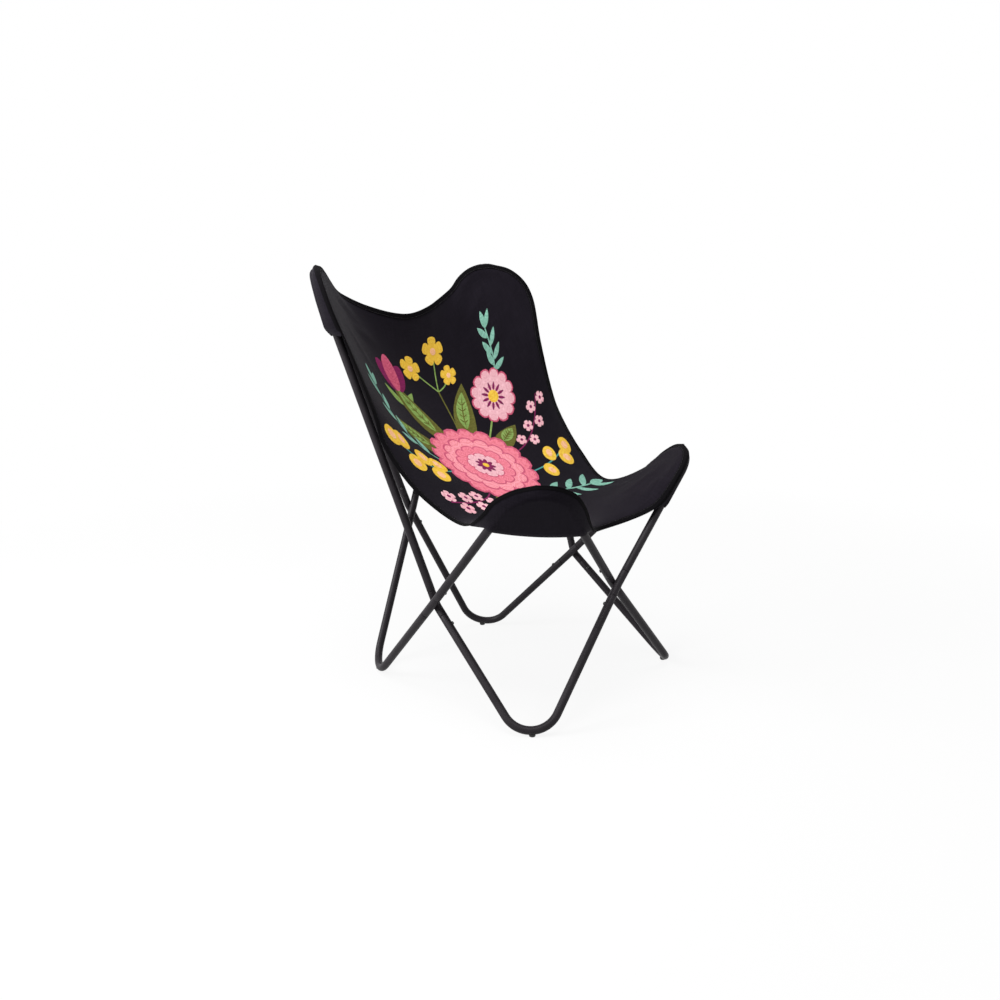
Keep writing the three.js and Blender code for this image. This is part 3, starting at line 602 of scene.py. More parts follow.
# The sling: one panel of heavy charcoal canvas, cut with four rounded tips and hung between the tips of the
# frame. It is drawn taut between its edges, sinks into a seat, and shows the tube as a ridge and a few soft
# folds near each tip.
CANVAS_T = 1.2 * mm
FROM_TUBE = 9.2 * mm
DOME_R = 104 * mm
DOME_SHIFT = {"front": 0.0, "back": -9 * mm}
DOME_LEAN = {"front": 0.0, "back": 10 * mm}
OVERHANG = {"front": 18 * mm, "back": 14.5 * mm}
FRONT_TURNS, BACK_TURNS, SIDE_TURNS = (0, 25, 50, 75), (0, 25, 48), (0, -25, -50, -75)
FRONT_LEAVES, BACK_LEAVES = (122 * mm, 130 * mm, 14 * mm), (97 * mm, 61 * mm, 31 * mm)
FRONT_DIP, BACK_DIP = (0, -250, 362), (0, 283, 779)
SIDE_DIPS = ((266, -92, 402), (288, 0, 459), (301, 75, 548))
ARM_STOPS = (290 * mm, 170 * mm)
ARM_LAP = 34 * mm
ARM_CLEAR = 6 * mm
CURVE_POINTS = 61
ACROSS_CELLS, LONG_CELLS = 88, 96
SEAT_LINE = ((0, -146, 384), (0, 25, 450), (0, 207, 582))
SEAT_FLATNESS = 0.07
EVEN_FROM, EVEN_UNTIL = (0.08, 0.23), (0.4, 0.6)
RIDGE_UP = 2.4 * mm
RIDGE_WIDE = 11 * mm
RIDGE_LONG = 210 * mm
RIDGE_START = -40 * mm
RIDGE_FADE = 0.7
HOLLOW_DEEP, HOLLOW_OUT = 0.45, 2.6
FOLD_UP = 2.6 * mm
FOLD_WIDE = 7 * mm
FOLD_NEAR = 130 * mm
EDGE_BAND = 0.12
folds = {
    "back_left_tip": (((14, 36), (84, 92)), ((-8, 70), (34, 260)), ((40, 110), (110, 190))),
    "back_right_tip": (((6, 30), (74, 190)), ((-30, 80), (-6, 240))),
    "front_left_tip": (((10, 30), (40, 150)), ((-28, 44), (-30, 150))),
    "front_right_tip": (((4, 34), (30, 170)), ((-34, 40), (-44, 150)), ((48, 60), (92, 150))),
}


def tip_axes(name):
    """Ways across, down and inside a tip, seen from its top, with the reach of its arms."""
    pin = hairpins[name]
    down = (pin["runs"][0] + pin["runs"][1]).normalized()
    across = (pin["runs"][1] - pin["runs"][0]).normalized()
    inside = across.cross(down).normalized()
    if inside.z < 0:
        inside.negate()
    rise = pin["bend"] * (1 / math.sin(pin["half"]) - 1)
    return {"top": pin["peak"], "across": across, "down": down, "inside": inside, "half": pin["half"],
            "bend": pin["bend"], "rise": rise}


def on_tip(tip, across, down, inside=FROM_TUBE):
    """Place on a tip, by its ways across, down and inside."""
    return tip["top"] + tip["across"] * across + tip["down"] * down + tip["inside"] * inside


def dome(tip, degrees):
    """Point of a tip's rounded edge, by its angle from the top."""
    turn = math.radians(degrees)
    inside = FROM_TUBE + tip["lean"] * max(math.sin(turn), 0)
    return on_tip(tip, tip["shift"] + DOME_R * math.sin(turn), DOME_R * (1 - math.cos(turn)) - tip["overhang"], inside)


def beside_arm(tip, down):
    """Edge point where the canvas laps past the side arm."""
    return on_tip(tip, -(down + tip["rise"]) * math.tan(tip["half"]) - ARM_LAP, down, FROM_TUBE + ARM_CLEAR)


def edge_curve(points, cells):
    """Smooth line through the points, cut where the rows or columns of the panel meet it."""
    knots = np.array([2 * points[0] - points[1], *points, 2 * points[-1] - points[-2]])
    steps = np.sqrt(np.linalg.norm(np.diff(knots, axis=0), axis=1))
    t = np.linspace(0, 1, CURVE_POINTS)[:, None]
    line = []
    for i in range(1, len(knots) - 2):
        a, b, c, d = knots[i - 1:i + 3]
        before, here, after = steps[i - 1:i + 2]
        leave = here * ((b - a) / before - (c - a) / (before + here) + (c - b) / here)
        arrive = here * ((c - b) / here - (d - b) / (here + after) + (d - c) / after)
        line.append(b + leave * t + (3 * (c - b) - 2 * leave - arrive) * t**2
                    + (2 * (b - c) + leave + arrive) * t**3)
    line = np.concatenate(line)
    length = np.concatenate([[0], np.cumsum(np.linalg.norm(np.diff(line, axis=0), axis=1))])
    share = np.arange(cells + 1) / cells
    wanted = (share + (1 - np.cos(np.pi * share)) / 2) / 2 * length[-1]
    return np.stack([np.interp(wanted, length, line[:, k]) for k in range(3)], axis=1)


tips = {name: tip_axes(name) for name in hairpins if name.endswith("tip")}
for name, tip in tips.items():
    tip["row"] = name.split("_")[0]
    tip["shift"], tip["lean"], tip["overhang"] = (size[tip["row"]] for size in (DOME_SHIFT, DOME_LEAN, OVERHANG))

front_half, back_half = {}, {}
for hand in ("left", "right"):
    tip = tips[f"front_{hand}_tip"]
    front_half[hand] = [dome(tip, turn) for turn in FRONT_TURNS] + [on_tip(tip, *FRONT_LEAVES)]
    tip = tips[f"back_{hand}_tip"]
    back_half[hand] = [dome(tip, turn) for turn in BACK_TURNS] + [on_tip(tip, *BACK_LEAVES)]
front_edge = edge_curve([*front_half["left"], spot(*FRONT_DIP), *reversed(front_half["right"])], ACROSS_CELLS)
back_edge = edge_curve([*back_half["left"], spot(*BACK_DIP), *reversed(back_half["right"])], ACROSS_CELLS)
side_edge = {}
for hand, sign in (("left", -1), ("right", 1)):
    low, high = tips[f"front_{hand}_tip"], tips[f"back_{hand}_tip"]
    side_edge[hand] = edge_curve([
        *(dome(low, turn) for turn in SIDE_TURNS), *(spot(sign * x, y, z) for x, y, z in SIDE_DIPS),
        *(beside_arm(high, down) for down in ARM_STOPS), *(dome(high, turn) for turn in reversed(SIDE_TURNS))],
        LONG_CELLS)

panel = np.zeros((LONG_CELLS + 1, ACROSS_CELLS + 1, 3))
panel[0], panel[-1] = front_edge, back_edge
panel[:, 0], panel[:, -1] = side_edge["left"], side_edge["right"]


def pull(count):
    """How each inner point of a line is pulled by its two neighbours, as modes and their strengths."""
    return np.linalg.eigh(np.eye(count, k=1) + np.eye(count, k=-1) - 2 * np.eye(count))


long_pull, long_modes = pull(LONG_CELLS - 1)
across_pull, across_modes = pull(ACROSS_CELLS - 1)
for k in range(3):
    edges = np.zeros((LONG_CELLS - 1, ACROSS_CELLS - 1))
    edges[0] -= panel[0, 1:-1, k]
    edges[-1] -= panel[-1, 1:-1, k]
    edges[:, 0] -= panel[1:-1, 0, k]
    edges[:, -1] -= panel[1:-1, -1, k]
    settled = long_modes.T @ edges @ across_modes / (long_pull[:, None] + across_pull[None, :])
    panel[1:-1, 1:-1, k] = long_modes @ settled @ across_modes.T

middle_col = ACROSS_CELLS // 2
slack = [np.array(spot(*place)) - panel[LONG_CELLS * (i + 1) // 4, middle_col]
         for i, place in enumerate(SEAT_LINE)]
for drop in slack:
    drop[0] = 0
both_ends = (slack[0] + slack[2]) / math.sqrt(2)
waves = ((both_ends + slack[1]) / 2, (slack[0] - slack[2]) / 2, (both_ends - slack[1]) / 2)
along = np.pi * np.arange(LONG_CELLS + 1) / LONG_CELLS
turn = np.pi * np.arange(ACROSS_CELLS + 1) / ACROSS_CELLS
hang = sum(np.sin((i + 1) * along)[:, None] * wave for i, wave in enumerate(waves))
flat = (SEAT_FLATNESS * np.sin(along) ** 2)[:, None]
share = (np.sin(turn)[None, :] + flat * np.sin(3 * turn)[None, :]) / (1 - flat)
panel += share[:, :, None] * hang[:, None, :]


def ease(value, begin, full):
    """Smooth rise from 0 to 1."""
    part = np.clip((value - begin) / (full - begin), 0, 1)
    return part * part * (3 - 2 * part)


long_share = np.arange(LONG_CELLS + 1) / LONG_CELLS
evenness = (ease(long_share, *EVEN_FROM) * (1 - ease(long_share, *EVEN_UNTIL)))[:, None, None]
across_share = ((turn / np.pi + (1 - np.cos(turn)) / 2) / 2)[None, :, None]
left, right = panel[:, :1], panel[:, -1:]
sag = panel[:, middle_col:middle_col + 1] - (left + right) / 2
even_rows = left + (right - left) * across_share + sag * np.sin(np.pi * across_share)
panel += (even_rows - panel) * evenness


def grid_normals(points):
    """Way up from the cloth at each point of a grid."""
    face = np.cross(points[1:, 1:] - points[:-1, :-1], points[1:, :-1] - points[:-1, 1:])
    total = np.zeros_like(points)
    for rows in (slice(0, -1), slice(1, None)):
        for cols in (slice(0, -1), slice(1, None)):
            total[rows, cols] += face
    return total / np.linalg.norm(total, axis=2, keepdims=True)


def tube_distance(tip, points):
    """How far points lie from the middle of a tip's tube, across the cloth, and how far down the tip."""
    offset = points - np.array(tip["top"])
    across, down = offset @ np.array(tip["across"]), offset @ np.array(tip["down"])
    last = math.pi / 2 - tip["half"]
    angle = np.clip(np.arctan2(across, tip["bend"] - down), -last, last)
    on_bend = np.abs(np.hypot(across, tip["bend"] - down) - tip["bend"])
    wide = (down + tip["rise"]) * math.tan(tip["half"])
    on_arm = np.abs(np.abs(across) - wide) * math.cos(tip["half"])
    return np.where(np.abs(angle) < last, on_bend, on_arm), down


up_from_cloth = grid_normals(panel)
lift = np.zeros(panel.shape[:2])
for name, tip in tips.items():
    away, down = tube_distance(tip, panel)
    fade = np.clip(1 - down / RIDGE_LONG, 0, 1) ** RIDGE_FADE * (down > RIDGE_START) * (down < RIDGE_LONG)
    lift += fade * RIDGE_UP * np.exp(-(away / RIDGE_WIDE) ** 2)
    lift -= fade * RIDGE_UP * HOLLOW_DEEP * np.exp(-((away - HOLLOW_OUT * RIDGE_WIDE) / RIDGE_WIDE) ** 2)
    offset = panel - np.array(tip["top"])
    flat_on_tip = np.stack([offset @ np.array(tip["across"]), offset @ np.array(tip["down"])], axis=2)
    close = np.abs(offset @ np.array(tip["inside"])) < FOLD_NEAR
    for begin, finish in np.array(folds[name]) * mm:
        run = finish - begin
        part = (flat_on_tip - begin) @ run / (run @ run)
        beside = np.linalg.norm(flat_on_tip - begin - np.clip(part, 0, 1)[:, :, None] * run, axis=2)
        lift += close * FOLD_UP * np.sin(np.pi * np.clip(part, 0, 1)) ** 2 * np.exp(-(beside / FOLD_WIDE) ** 2)
inner = np.minimum(share, EDGE_BAND) / EDGE_BAND
panel += up_from_cloth * (lift * inner)[:, :, None]
up_from_cloth = grid_normals(panel)

row_length = np.linalg.norm(np.diff(panel, axis=1), axis=2)
cloth_p = np.concatenate([np.zeros((LONG_CELLS + 1, 1)), np.cumsum(row_length, axis=1)], axis=1)
cloth_p -= cloth_p[:, middle_col:middle_col + 1]
centre_length = np.linalg.norm(np.diff(panel[:, middle_col], axis=0), axis=1)
cloth_q = np.concatenate([[0], np.cumsum(centre_length)])


def grid_faces(rows, cols):
    """Faces of a grid of points, wound to face up."""
    first = (np.arange(rows - 1)[:, None] * cols + np.arange(cols - 1)[None, :]).ravel()
    return np.stack([first, first + 1, first + cols + 1, first + cols], axis=1)


def cloth_mesh(name, points, faces, flat_places=None):
    """Mesh of one layer of cloth, with its flat places as a UV map in metres."""
    mesh = bpy.data.meshes.new(name)
    mesh.from_pydata(np.reshape(points, (-1, 3)).tolist(), [], [list(face) for face in faces])
    if flat_places is not None:
        flat_map = mesh.uv_layers.new(name="flat_cloth")
        corners = np.zeros(len(mesh.loops), dtype=np.int32)
        mesh.loops.foreach_get("vertex_index", corners)
        flat_map.data.foreach_set("uv", np.reshape(flat_places, (-1, 2))[corners].astype(np.float32).ravel())
    piece = bpy.data.objects.new(name, mesh)
    bpy.context.scene.collection.objects.link(piece)
    return piece


def drawn_out(tree, place, across, along, detail, roughness=0.5):
    """Grain drawn out along the threads of a cloth."""
    scaled = node(tree, "Mapping", {"Vector": place, "Scale": (across, along, 1.0)})
    return noise(tree, scaled.outputs[0], 1.0, detail, roughness)


def colour_by(tree, shader, value, dark, light):
    """Lets the colour of a finish follow a value."""
    shade = node(tree, "MixRGB", {0: value, 1: (*dark, 1), 2: (*light, 1)})
    tree.links.new(shade.outputs[0], shader.inputs["Base Color"])


def woven_canvas(name, dark, light, thread, sheen):
    """Plain-woven cotton: threads over and under, slubs along the yarns and soft drifts of colour."""
    material, tree, cloth = new_finish(name)
    flat_place = node(tree, "UVMap", uv_map="flat_cloth").outputs["UV"]
    split = node(tree, "SeparateXYZ", {"Vector": flat_place})
    waves = []
    for way in ("X", "Y"):
        turns = node(tree, "Math", {0: split.outputs[way], 1: math.pi / thread}, operation="MULTIPLY")
        waves.append(node(tree, "Math", {0: turns.outputs[0]}, operation="SINE").outputs[0])
    over = node(tree, "Math", {0: waves[0], 1: waves[1]}, operation="MULTIPLY").outputs[0]
    slub_warp = drawn_out(tree, flat_place, 460.0, 24.0, 2.0)
    slub_weft = drawn_out(tree, flat_place, 24.0, 460.0, 2.0)
    slub = node(tree, "Math", {0: slub_warp, 1: slub_weft}, operation="ADD").outputs[0]
    drift = noise(tree, flat_place, 9.0, 5.0, 0.6)
    tone = node(tree, "MapRange", {"Value": slub, "From Min": 0.75, "From Max": 1.25, "To Max": 0.42})
    tone = node(tree, "Math", {0: drift, 1: tone.outputs[0], 2: 0.15}, operation="MULTIPLY_ADD", use_clamp=True)
    colour_by(tree, cloth, tone.outputs[0], dark, light)
    rough = node(tree, "MapRange", {"Value": slub, "From Min": 0.6, "From Max": 1.4, "To Min": 0.82, "To Max": 0.96})
    tree.links.new(rough.outputs[0], cloth.inputs["Roughness"])
    relief = node(tree, "Math", {0: slub, 1: 0.5, 2: over}, operation="MULTIPLY_ADD")
    emboss(tree, cloth, relief.outputs[0], 0.35, 0.00025)
    cloth.inputs["Specular IOR Level"].default_value = 0.03
    cloth.inputs["Sheen Weight"].default_value = sheen
    cloth.inputs["Sheen Roughness"].default_value = 0.45
    return material


canvas = woven_canvas("charcoal_canvas", (0.0038, 0.0029, 0.0049), (0.0218, 0.0180, 0.0264), 0.9 * mm, 0.05)
flat_places = np.stack([cloth_p, np.broadcast_to(cloth_q[:, None], cloth_p.shape)], axis=2)
sling = cloth_mesh("canvas_sling", panel, grid_faces(LONG_CELLS + 1, ACROSS_CELLS + 1), flat_places)
work(sling, "SOLIDIFY", thickness=CANVAS_T, offset=0, use_even_offset=False)
smooth(50)
finish_piece(sling, canvas)
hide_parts("sling_panel")


# The embroidery: a bunch of flowers worked on the seat and the back in coloured cotton, before the sling was
# bound. Each petal, leaf and berry is a pad of close satin stitch, a little proud of the canvas.
PAD_ROWS, PAD_COLS = 10, 6
STEM_ROWS = 14
PAD_UP = 0.26 * mm
PAD_BASE = 0.6
PAD_LAYER = 0.3 * mm
PAD_T = 0.5 * mm
PAD_CROWN = 1.5
SLANT_ON, SLANT_OFF = 0.85, 0.5
DYE_SHIFT = 7
LEAF, PETAL, BERRY, CUP = (0.8, 0.9), (0.95, 0.36), (0.5, 0.5), (0.6, 0.6)
HEART_FROM, HEART_LONG, HEART_WIDE, HEART_CURL = 54, 0.88, 0.6, 1.3
RIB_LONG, RIB_WIDE = 0.94, 3.6
VEIN_STOPS = (0.18, 0.34, 0.5, 0.66)
VEIN_TURN, VEIN_LONG, VEIN_WIDE = 48, 0.26, 3.0
LEAF_CURL = 0.08
sewn = {}


def flat(across, along):
    """Place on the flat cloth, in millimetres right of its middle line and up from its front edge."""
    return np.array((across, along)) * mm


def on_panel(flat_points, rise):
    """Places on the upper side of the sling, from places on the flat cloth."""
    rows = np.interp(flat_points[:, 1], cloth_q, np.arange(LONG_CELLS + 1))
    placed = []
    for (across, _), row, up in zip(flat_points, rows, rise):
        low = min(int(row), LONG_CELLS - 1)
        part = row - low
        widths = cloth_p[low] * (1 - part) + cloth_p[low + 1] * part
        col = np.interp(across, widths, np.arange(ACROSS_CELLS + 1))
        left = min(int(col), ACROSS_CELLS - 1)
        weights = np.outer((1 - part, part), (1 - (col - left), col - left))[:, :, None]
        place, way = ((weights * grid[low:low + 2, left:left + 2]).sum(axis=(0, 1)) for grid in (panel, up_from_cloth))
        placed.append(place + way * (CANVAS_T / 2 + up))
    return placed


def sew_grid(colour, flat_grid, rise, lie, pointed):
    """Puts one padded shape on the cloth. A pointed one closes to a single stitch at each end."""
    points, faces, lies = sewn.setdefault(colour, ([], [], []))
    base, (rows, cols) = len(points), flat_grid.shape[:2]
    chosen = np.arange(rows * cols).reshape(rows, cols)
    if pointed:
        keep = np.concatenate([[0], chosen[1:-1].ravel(), [chosen[-1, 0]]])
        inner = base + 1 + np.arange((rows - 2) * cols).reshape(rows - 2, cols)
        final = base + len(keep) - 1
        for k in range(cols - 1):
            faces.append([base, inner[0, k + 1], inner[0, k]])
            faces.append([final, inner[-1, k], inner[-1, k + 1]])
    else:
        keep, inner = chosen.ravel(), base + chosen
    faces.extend([inner[i, k], inner[i, k + 1], inner[i + 1, k + 1], inner[i + 1, k]]
                 for i in range(len(inner) - 1) for k in range(cols - 1))
    points.extend(on_panel(flat_grid.reshape(-1, 2)[keep], rise.ravel()[keep]))
    lies.extend(lie.reshape(-1, 2)[keep])


def sew(colour, root, heading, long, wide, outline=LEAF, layer=0, curl=0.0):
    """Sews a leaf, petal or berry from its root along its heading, in degrees to the right of straight up."""
    along = (1 - np.cos(np.linspace(0, np.pi, PAD_ROWS + 1)))[:, None] / 2
    beside = np.linspace(-1, 1, PAD_COLS + 1)[None, :]
    widest = outline[0] / sum(outline)
    fullness = along ** outline[0] * (1 - along) ** outline[1]
    fullness = fullness / (widest ** outline[0] * (1 - widest) ** outline[1])
    forward = along * long + 0 * beside
    sideways = beside * fullness * wide / 2
    turn = math.radians(heading)
    ahead, aside = np.array((math.sin(turn), math.cos(turn))), np.array((math.cos(turn), -math.sin(turn)))
    bowed = sideways + curl * long * along ** 2
    flat_grid = root + (forward[:, :, None] * ahead + bowed[:, :, None] * aside) * mm
    rise = PAD_LAYER * (PAD_BASE + layer) + PAD_UP * (1 - beside ** 2) * np.minimum(PAD_CROWN * fullness, 1)
    slant = np.stack([np.abs(sideways) * SLANT_ON + forward * SLANT_OFF,
                      forward * SLANT_ON - np.abs(sideways) * SLANT_OFF], axis=2)
    sew_grid(colour, flat_grid, rise, slant * mm + root * DYE_SHIFT, True)


def sew_stem(colour, start, bend, end, wide, layer=0):
    """Sews a line of stem stitch that bows towards a place on its way. Returns points along it, with headings."""
    part = np.linspace(0, 1, STEM_ROWS + 1)[:, None]
    middle = start * (1 - part) ** 2 + 2 * bend * part * (1 - part) + end * part ** 2
    way = 2 * (bend - start) * (1 - part) + 2 * (end - bend) * part
    way /= np.linalg.norm(way, axis=1, keepdims=True)
    aside = np.stack([way[:, 1], -way[:, 0]], axis=1)
    beside = np.array((-1.0, 0.0, 1.0))
    flat_grid = middle[:, None] + aside[:, None] * (beside * wide / 2 * mm)[None, :, None]
    rise = PAD_LAYER * (PAD_BASE + layer) + PAD_UP * (1 - beside ** 2)[None, :] + 0 * part
    lie = np.stack([part * np.linalg.norm(end - start) + 0 * beside, 0 * part + beside * wide / 2 * mm], axis=2)
    sew_grid(colour, flat_grid, rise, lie, False)
    return middle, np.degrees(np.arctan2(way[:, 0], way[:, 1]))


def step(start, heading, far):
    """Place a way along a heading from another place."""
    turn = math.radians(heading)
    return start + flat(math.sin(turn), math.cos(turn)) * far


def sew_broad_leaf(root, heading, long, wide, curl):
    """An olive leaf with a lighter heart, a dark rib and veins that slant from it in pairs."""
    sew("olive", root, heading, long, wide, curl=curl)
    heart, heart_curl = step(root, heading, HEART_FROM), HEART_CURL * curl
    heart_long = HEART_LONG * long - HEART_FROM
    sew("leaf_green", heart, heading, heart_long, HEART_WIDE * wide, layer=2, curl=heart_curl)
    sew("olive", heart, heading, RIB_LONG * heart_long, RIB_WIDE, layer=4, curl=heart_curl)
    for part in VEIN_STOPS:
        bow = heart_curl * heart_long * part ** 2
        joint = step(step(heart, heading, part * heart_long), heading + 90, bow)
        for hand in (-1, 1):
            sew("olive", joint, heading + VEIN_TURN * hand, VEIN_LONG * wide, VEIN_WIDE, layer=4)


def sew_blossom(middle, petals, long, wide, colour, heart, heart_wide, layer=1):
    """A small open flower: petals round a heart."""
    for k in range(petals):
        sew(colour, middle, 360 / petals * k + 12, long, wide, PETAL, layer=layer + k % 2)
    sew(heart, middle - flat(0, heart_wide / 2), 0, heart_wide, heart_wide, BERRY, layer=layer + 2)


def sew_willow(start, bend, end, long, wide):
    """A mint twig with narrow leaves on one side and then the other."""
    line, headings = sew_stem("mint", start, bend, end, 3.4)
    for i in range(2, STEM_ROWS + 1, 2):
        hand = 1 if i % 4 else -1
        sew("mint", line[i], headings[i] + 40 * hand, long, wide, layer=1, curl=-0.1 * hand)
    sew("mint", line[-1], headings[-1], long, wide, layer=1)


def sew_spire(start, bend, end, far):
    """A magenta spire of little pink flowers that stand off it in turn."""
    line, headings = sew_stem("magenta", start, bend, end, 3.4)
    for i in range(3, STEM_ROWS + 1, 2):
        hand = 62 if i % 4 == 1 else -62
        near, end = (step(line[i], headings[i] + hand, reach) for reach in (far / 2, far))
        sew_stem("magenta", line[i], near, end, 2.4)
        sew_blossom(end, 5, 15, 12, "light_pink", "magenta", 8)


def sew_coins(start, bend, end, wide, stops):
    """A teal twig with round gold leaves, each with a peach middle."""
    line, headings = sew_stem("teal", start, bend, end, 3.6)
    for i, hand in stops:
        heading = headings[i] + 54 * hand
        sew("gold", line[i], heading, wide, 0.94 * wide, BERRY, layer=1)
        sew("peach", step(line[i], heading, 0.3 * wide), heading, 0.5 * wide, 0.42 * wide, BERRY, layer=2)


bloom = flat(-16, 318)
for heading, long, wide in (
        (-54, 150, 58), (-18, 196, 60), (26, 178, 58), (68, 118, 50), (160, 134, 50), (206, 120, 48)):
    sew_broad_leaf(step(bloom, heading, 78), heading, long, wide, LEAF_CURL if heading > 0 else -LEAF_CURL)
for ring, (petals, long, wide, colour) in enumerate((
        (17, 132, 52, "coral"), (14, 102, 46, "salmon"), (11, 73, 40, "coral"), (8, 46, 33, "light_pink"))):
    for k in range(petals):
        heading = 360 / petals * (k + ring / 2)
        sew("rose", bloom, heading, long, wide, PETAL, layer=2 * ring + 1)
        sew(colour, bloom, heading, 0.955 * long, 0.84 * wide, PETAL, layer=2 * ring + 2)
for k in range(9):
    sew("magenta", bloom, 40 * k, 25, 11, BERRY, layer=9)
sew("gold", bloom - flat(0, 8), 0, 16, 16, BERRY, layer=10)

daisy = flat(170, 470)
sew_stem("leaf_green", daisy, flat(120, 420), bloom + flat(84, 66), 4.6)
for k in range(12):
    sew("rose", daisy, 30 * k + 12, 66, 31, PETAL, layer=1)
    sew("light_pink", daisy, 30 * k + 12, 62, 26, PETAL, layer=2)
sew("gold", daisy - flat(0, 15), 0, 30, 30, BERRY, layer=4)
for k in range(12):
    sew("magenta", step(daisy, 30 * k + 12, 13), 30 * k + 12, 22, 7, layer=3)

tulip = flat(-104, 546)
sew_stem("olive", bloom + flat(-40, 98), flat(-100, 456), tulip, 5.0)
for heading, colour, long, layer in ((-30, "magenta", 78, 1), (30, "magenta", 78, 1), (0, "rose", 88, 2)):
    sew(colour, tulip, heading, long, 44, CUP, layer=layer)
for hand in (-1, 1):
    sew("leaf_green", tulip - flat(0, 36), 62 * hand, 62, 20, curl=-0.2 * hand)

fork = flat(34, 548)
sew_stem("olive", bloom + flat(22, 104), flat(34, 470), fork, 4.0)
for end, bend, long in ((flat(-26, 612), flat(10, 580), 30), (flat(62, 640), flat(48, 590), 34),
                        (flat(84, 574), flat(64, 552), 24)):
    sew_stem("leaf_green", fork, bend, end, 3.4)
    sew_blossom(end, 5, long, 0.8 * long, "gold", "peach", 0.5 * long)

sew_willow(bloom + flat(-116, 22), flat(-226, 404), flat(-232, 506), 46, 15)
sew_willow(daisy + flat(34, 40), flat(232, 520), flat(238, 606), 42, 14)
sew_willow(bloom + flat(34, -112), flat(100, 168), flat(202, 160), 50, 16)
sew_spire(bloom + flat(122, 6), flat(200, 322), flat(276, 392), 17)
sew_spire(bloom + flat(-84, -92), flat(-140, 190), flat(-226, 206), 17)
sew_coins(bloom + flat(-118, -14), flat(-180, 284), flat(-264, 336), 44,
          ((3, 1), (5, -1), (8, 1), (10, -1), (13, 1), (14, 0)))
sew_coins(bloom + flat(104, -62), flat(166, 246), flat(228, 254), 42, ((4, 1), (8, -1), (12, 1), (14, 0)))


def stitched_cotton(name, dark, light):
    """Stranded cotton in satin stitch: fine strands side by side, and slow changes of tone from dyeing."""
    material, tree, cotton = new_finish(name)
    lie = node(tree, "UVMap", uv_map="flat_cloth").outputs["UV"]
    strand = drawn_out(tree, lie, 40.0, 1500.0, 2.0)
    dye = drawn_out(tree, lie, 90.0, 340.0, 4.0, 0.65)
    tone = node(tree, "Math", {0: strand, 1: 0.5, 2: dye}, operation="MULTIPLY_ADD")
    tone = node(tree, "MapRange", {"Value": tone.outputs[0], "From Min": 0.58, "From Max": 0.92})
    colour_by(tree, cotton, tone.outputs[0], dark, light)
    emboss(tree, cotton, strand, 0.4, 0.0004)
    cotton.inputs["Roughness"].default_value = 0.7
    cotton.inputs["Specular IOR Level"].default_value = 0.15
    return material


thread_colours = {
    "coral": ((0.590, 0.100, 0.135), (0.890, 0.280, 0.375)),
    "salmon": ((0.660, 0.150, 0.185), (0.930, 0.385, 0.450)),
    "rose": ((0.380, 0.038, 0.085), (0.660, 0.130, 0.225)),
    "light_pink": ((0.640, 0.270, 0.320), (0.890, 0.560, 0.610)),
    "magenta": ((0.120, 0.006, 0.048), (0.240, 0.014, 0.100)),
    "olive": ((0.062, 0.062, 0.008), (0.142, 0.138, 0.026)),
    "leaf_green": ((0.118, 0.200, 0.042), (0.285, 0.435, 0.118)),
    "mint": ((0.110, 0.285, 0.215), (0.270, 0.530, 0.430)),
    "teal": ((0.045, 0.230, 0.220), (0.080, 0.330, 0.310)),
    "gold": ((0.680, 0.330, 0.022), (0.890, 0.650, 0.080)),
    "peach": ((0.760, 0.345, 0.160), (0.940, 0.600, 0.370)),
}
for colour, (points, faces, lies) in sewn.items():
    motif = cloth_mesh(f"{colour}_embroidery", points, faces, lies)
    work(motif, "SOLIDIFY", thickness=PAD_T, offset=-1)
    smooth(60)
    finish_piece(motif, stitched_cotton(f"{colour}_cotton", *thread_colours[colour]))


# The pockets: four caps of the same canvas, sewn along the edge of each tip and passed round the outside of
# its tube, so that the sling hangs from them. Their mouths are open below, and bow down in the middle.
POCKET_DEPTH = {"front": {"side": 116 * mm, "end": 142 * mm}, "back": {"side": 122 * mm, "end": 106 * mm}}
MOUTH_SLANT = {"front": {"side": 44 * mm, "end": 30 * mm}, "back": {"side": 16 * mm, "end": 0.0}}
POCKET_SLACK = {"front": 3.2 * mm, "back": 3.4 * mm}
POCKET_FLARE = {"front": 0.0, "back": 7.5 * mm}
TOP_BULGE = {"front": 1.5 * mm, "back": 3.0 * mm}
PEAK_BULGE = {"front": 0.0, "back": 3.5 * mm}
MOUTH_GRIP, GRIP_FROM = 0.7, 0.94
MOUTH_BOW = 9 * mm
LAYER_STEP = 1.7 * mm
RIM_STEPS = 32
WRAP_STEPS = 7
FLOOR_CELLS = 12
SWELL_STOPS = (0.3, 0.65)

rim = np.concatenate([panel[0], panel[1:, -1], panel[-1, -2::-1], panel[-2:0:-1, 0]])
rim_up = np.concatenate([up_from_cloth[0], up_from_cloth[1:, -1], up_from_cloth[-1, -2::-1],
                         up_from_cloth[-2:0:-1, 0]])
rim_out = np.cross(np.roll(rim, -1, axis=0) - np.roll(rim, 1, axis=0), rim_up)
rim_out /= np.linalg.norm(rim_out, axis=1, keepdims=True)
rim_corner = {"front_left_tip": 0, "front_right_tip": ACROSS_CELLS, "back_right_tip": ACROSS_CELLS + LONG_CELLS,
              "back_left_tip": 2 * ACROSS_CELLS + LONG_CELLS}


def rim_at(stations, line):
    """Values round the rim at stations between its points."""
    return np.stack([np.interp(stations, np.arange(len(rim)), line[:, k], period=len(rim)) for k in range(3)], axis=1)


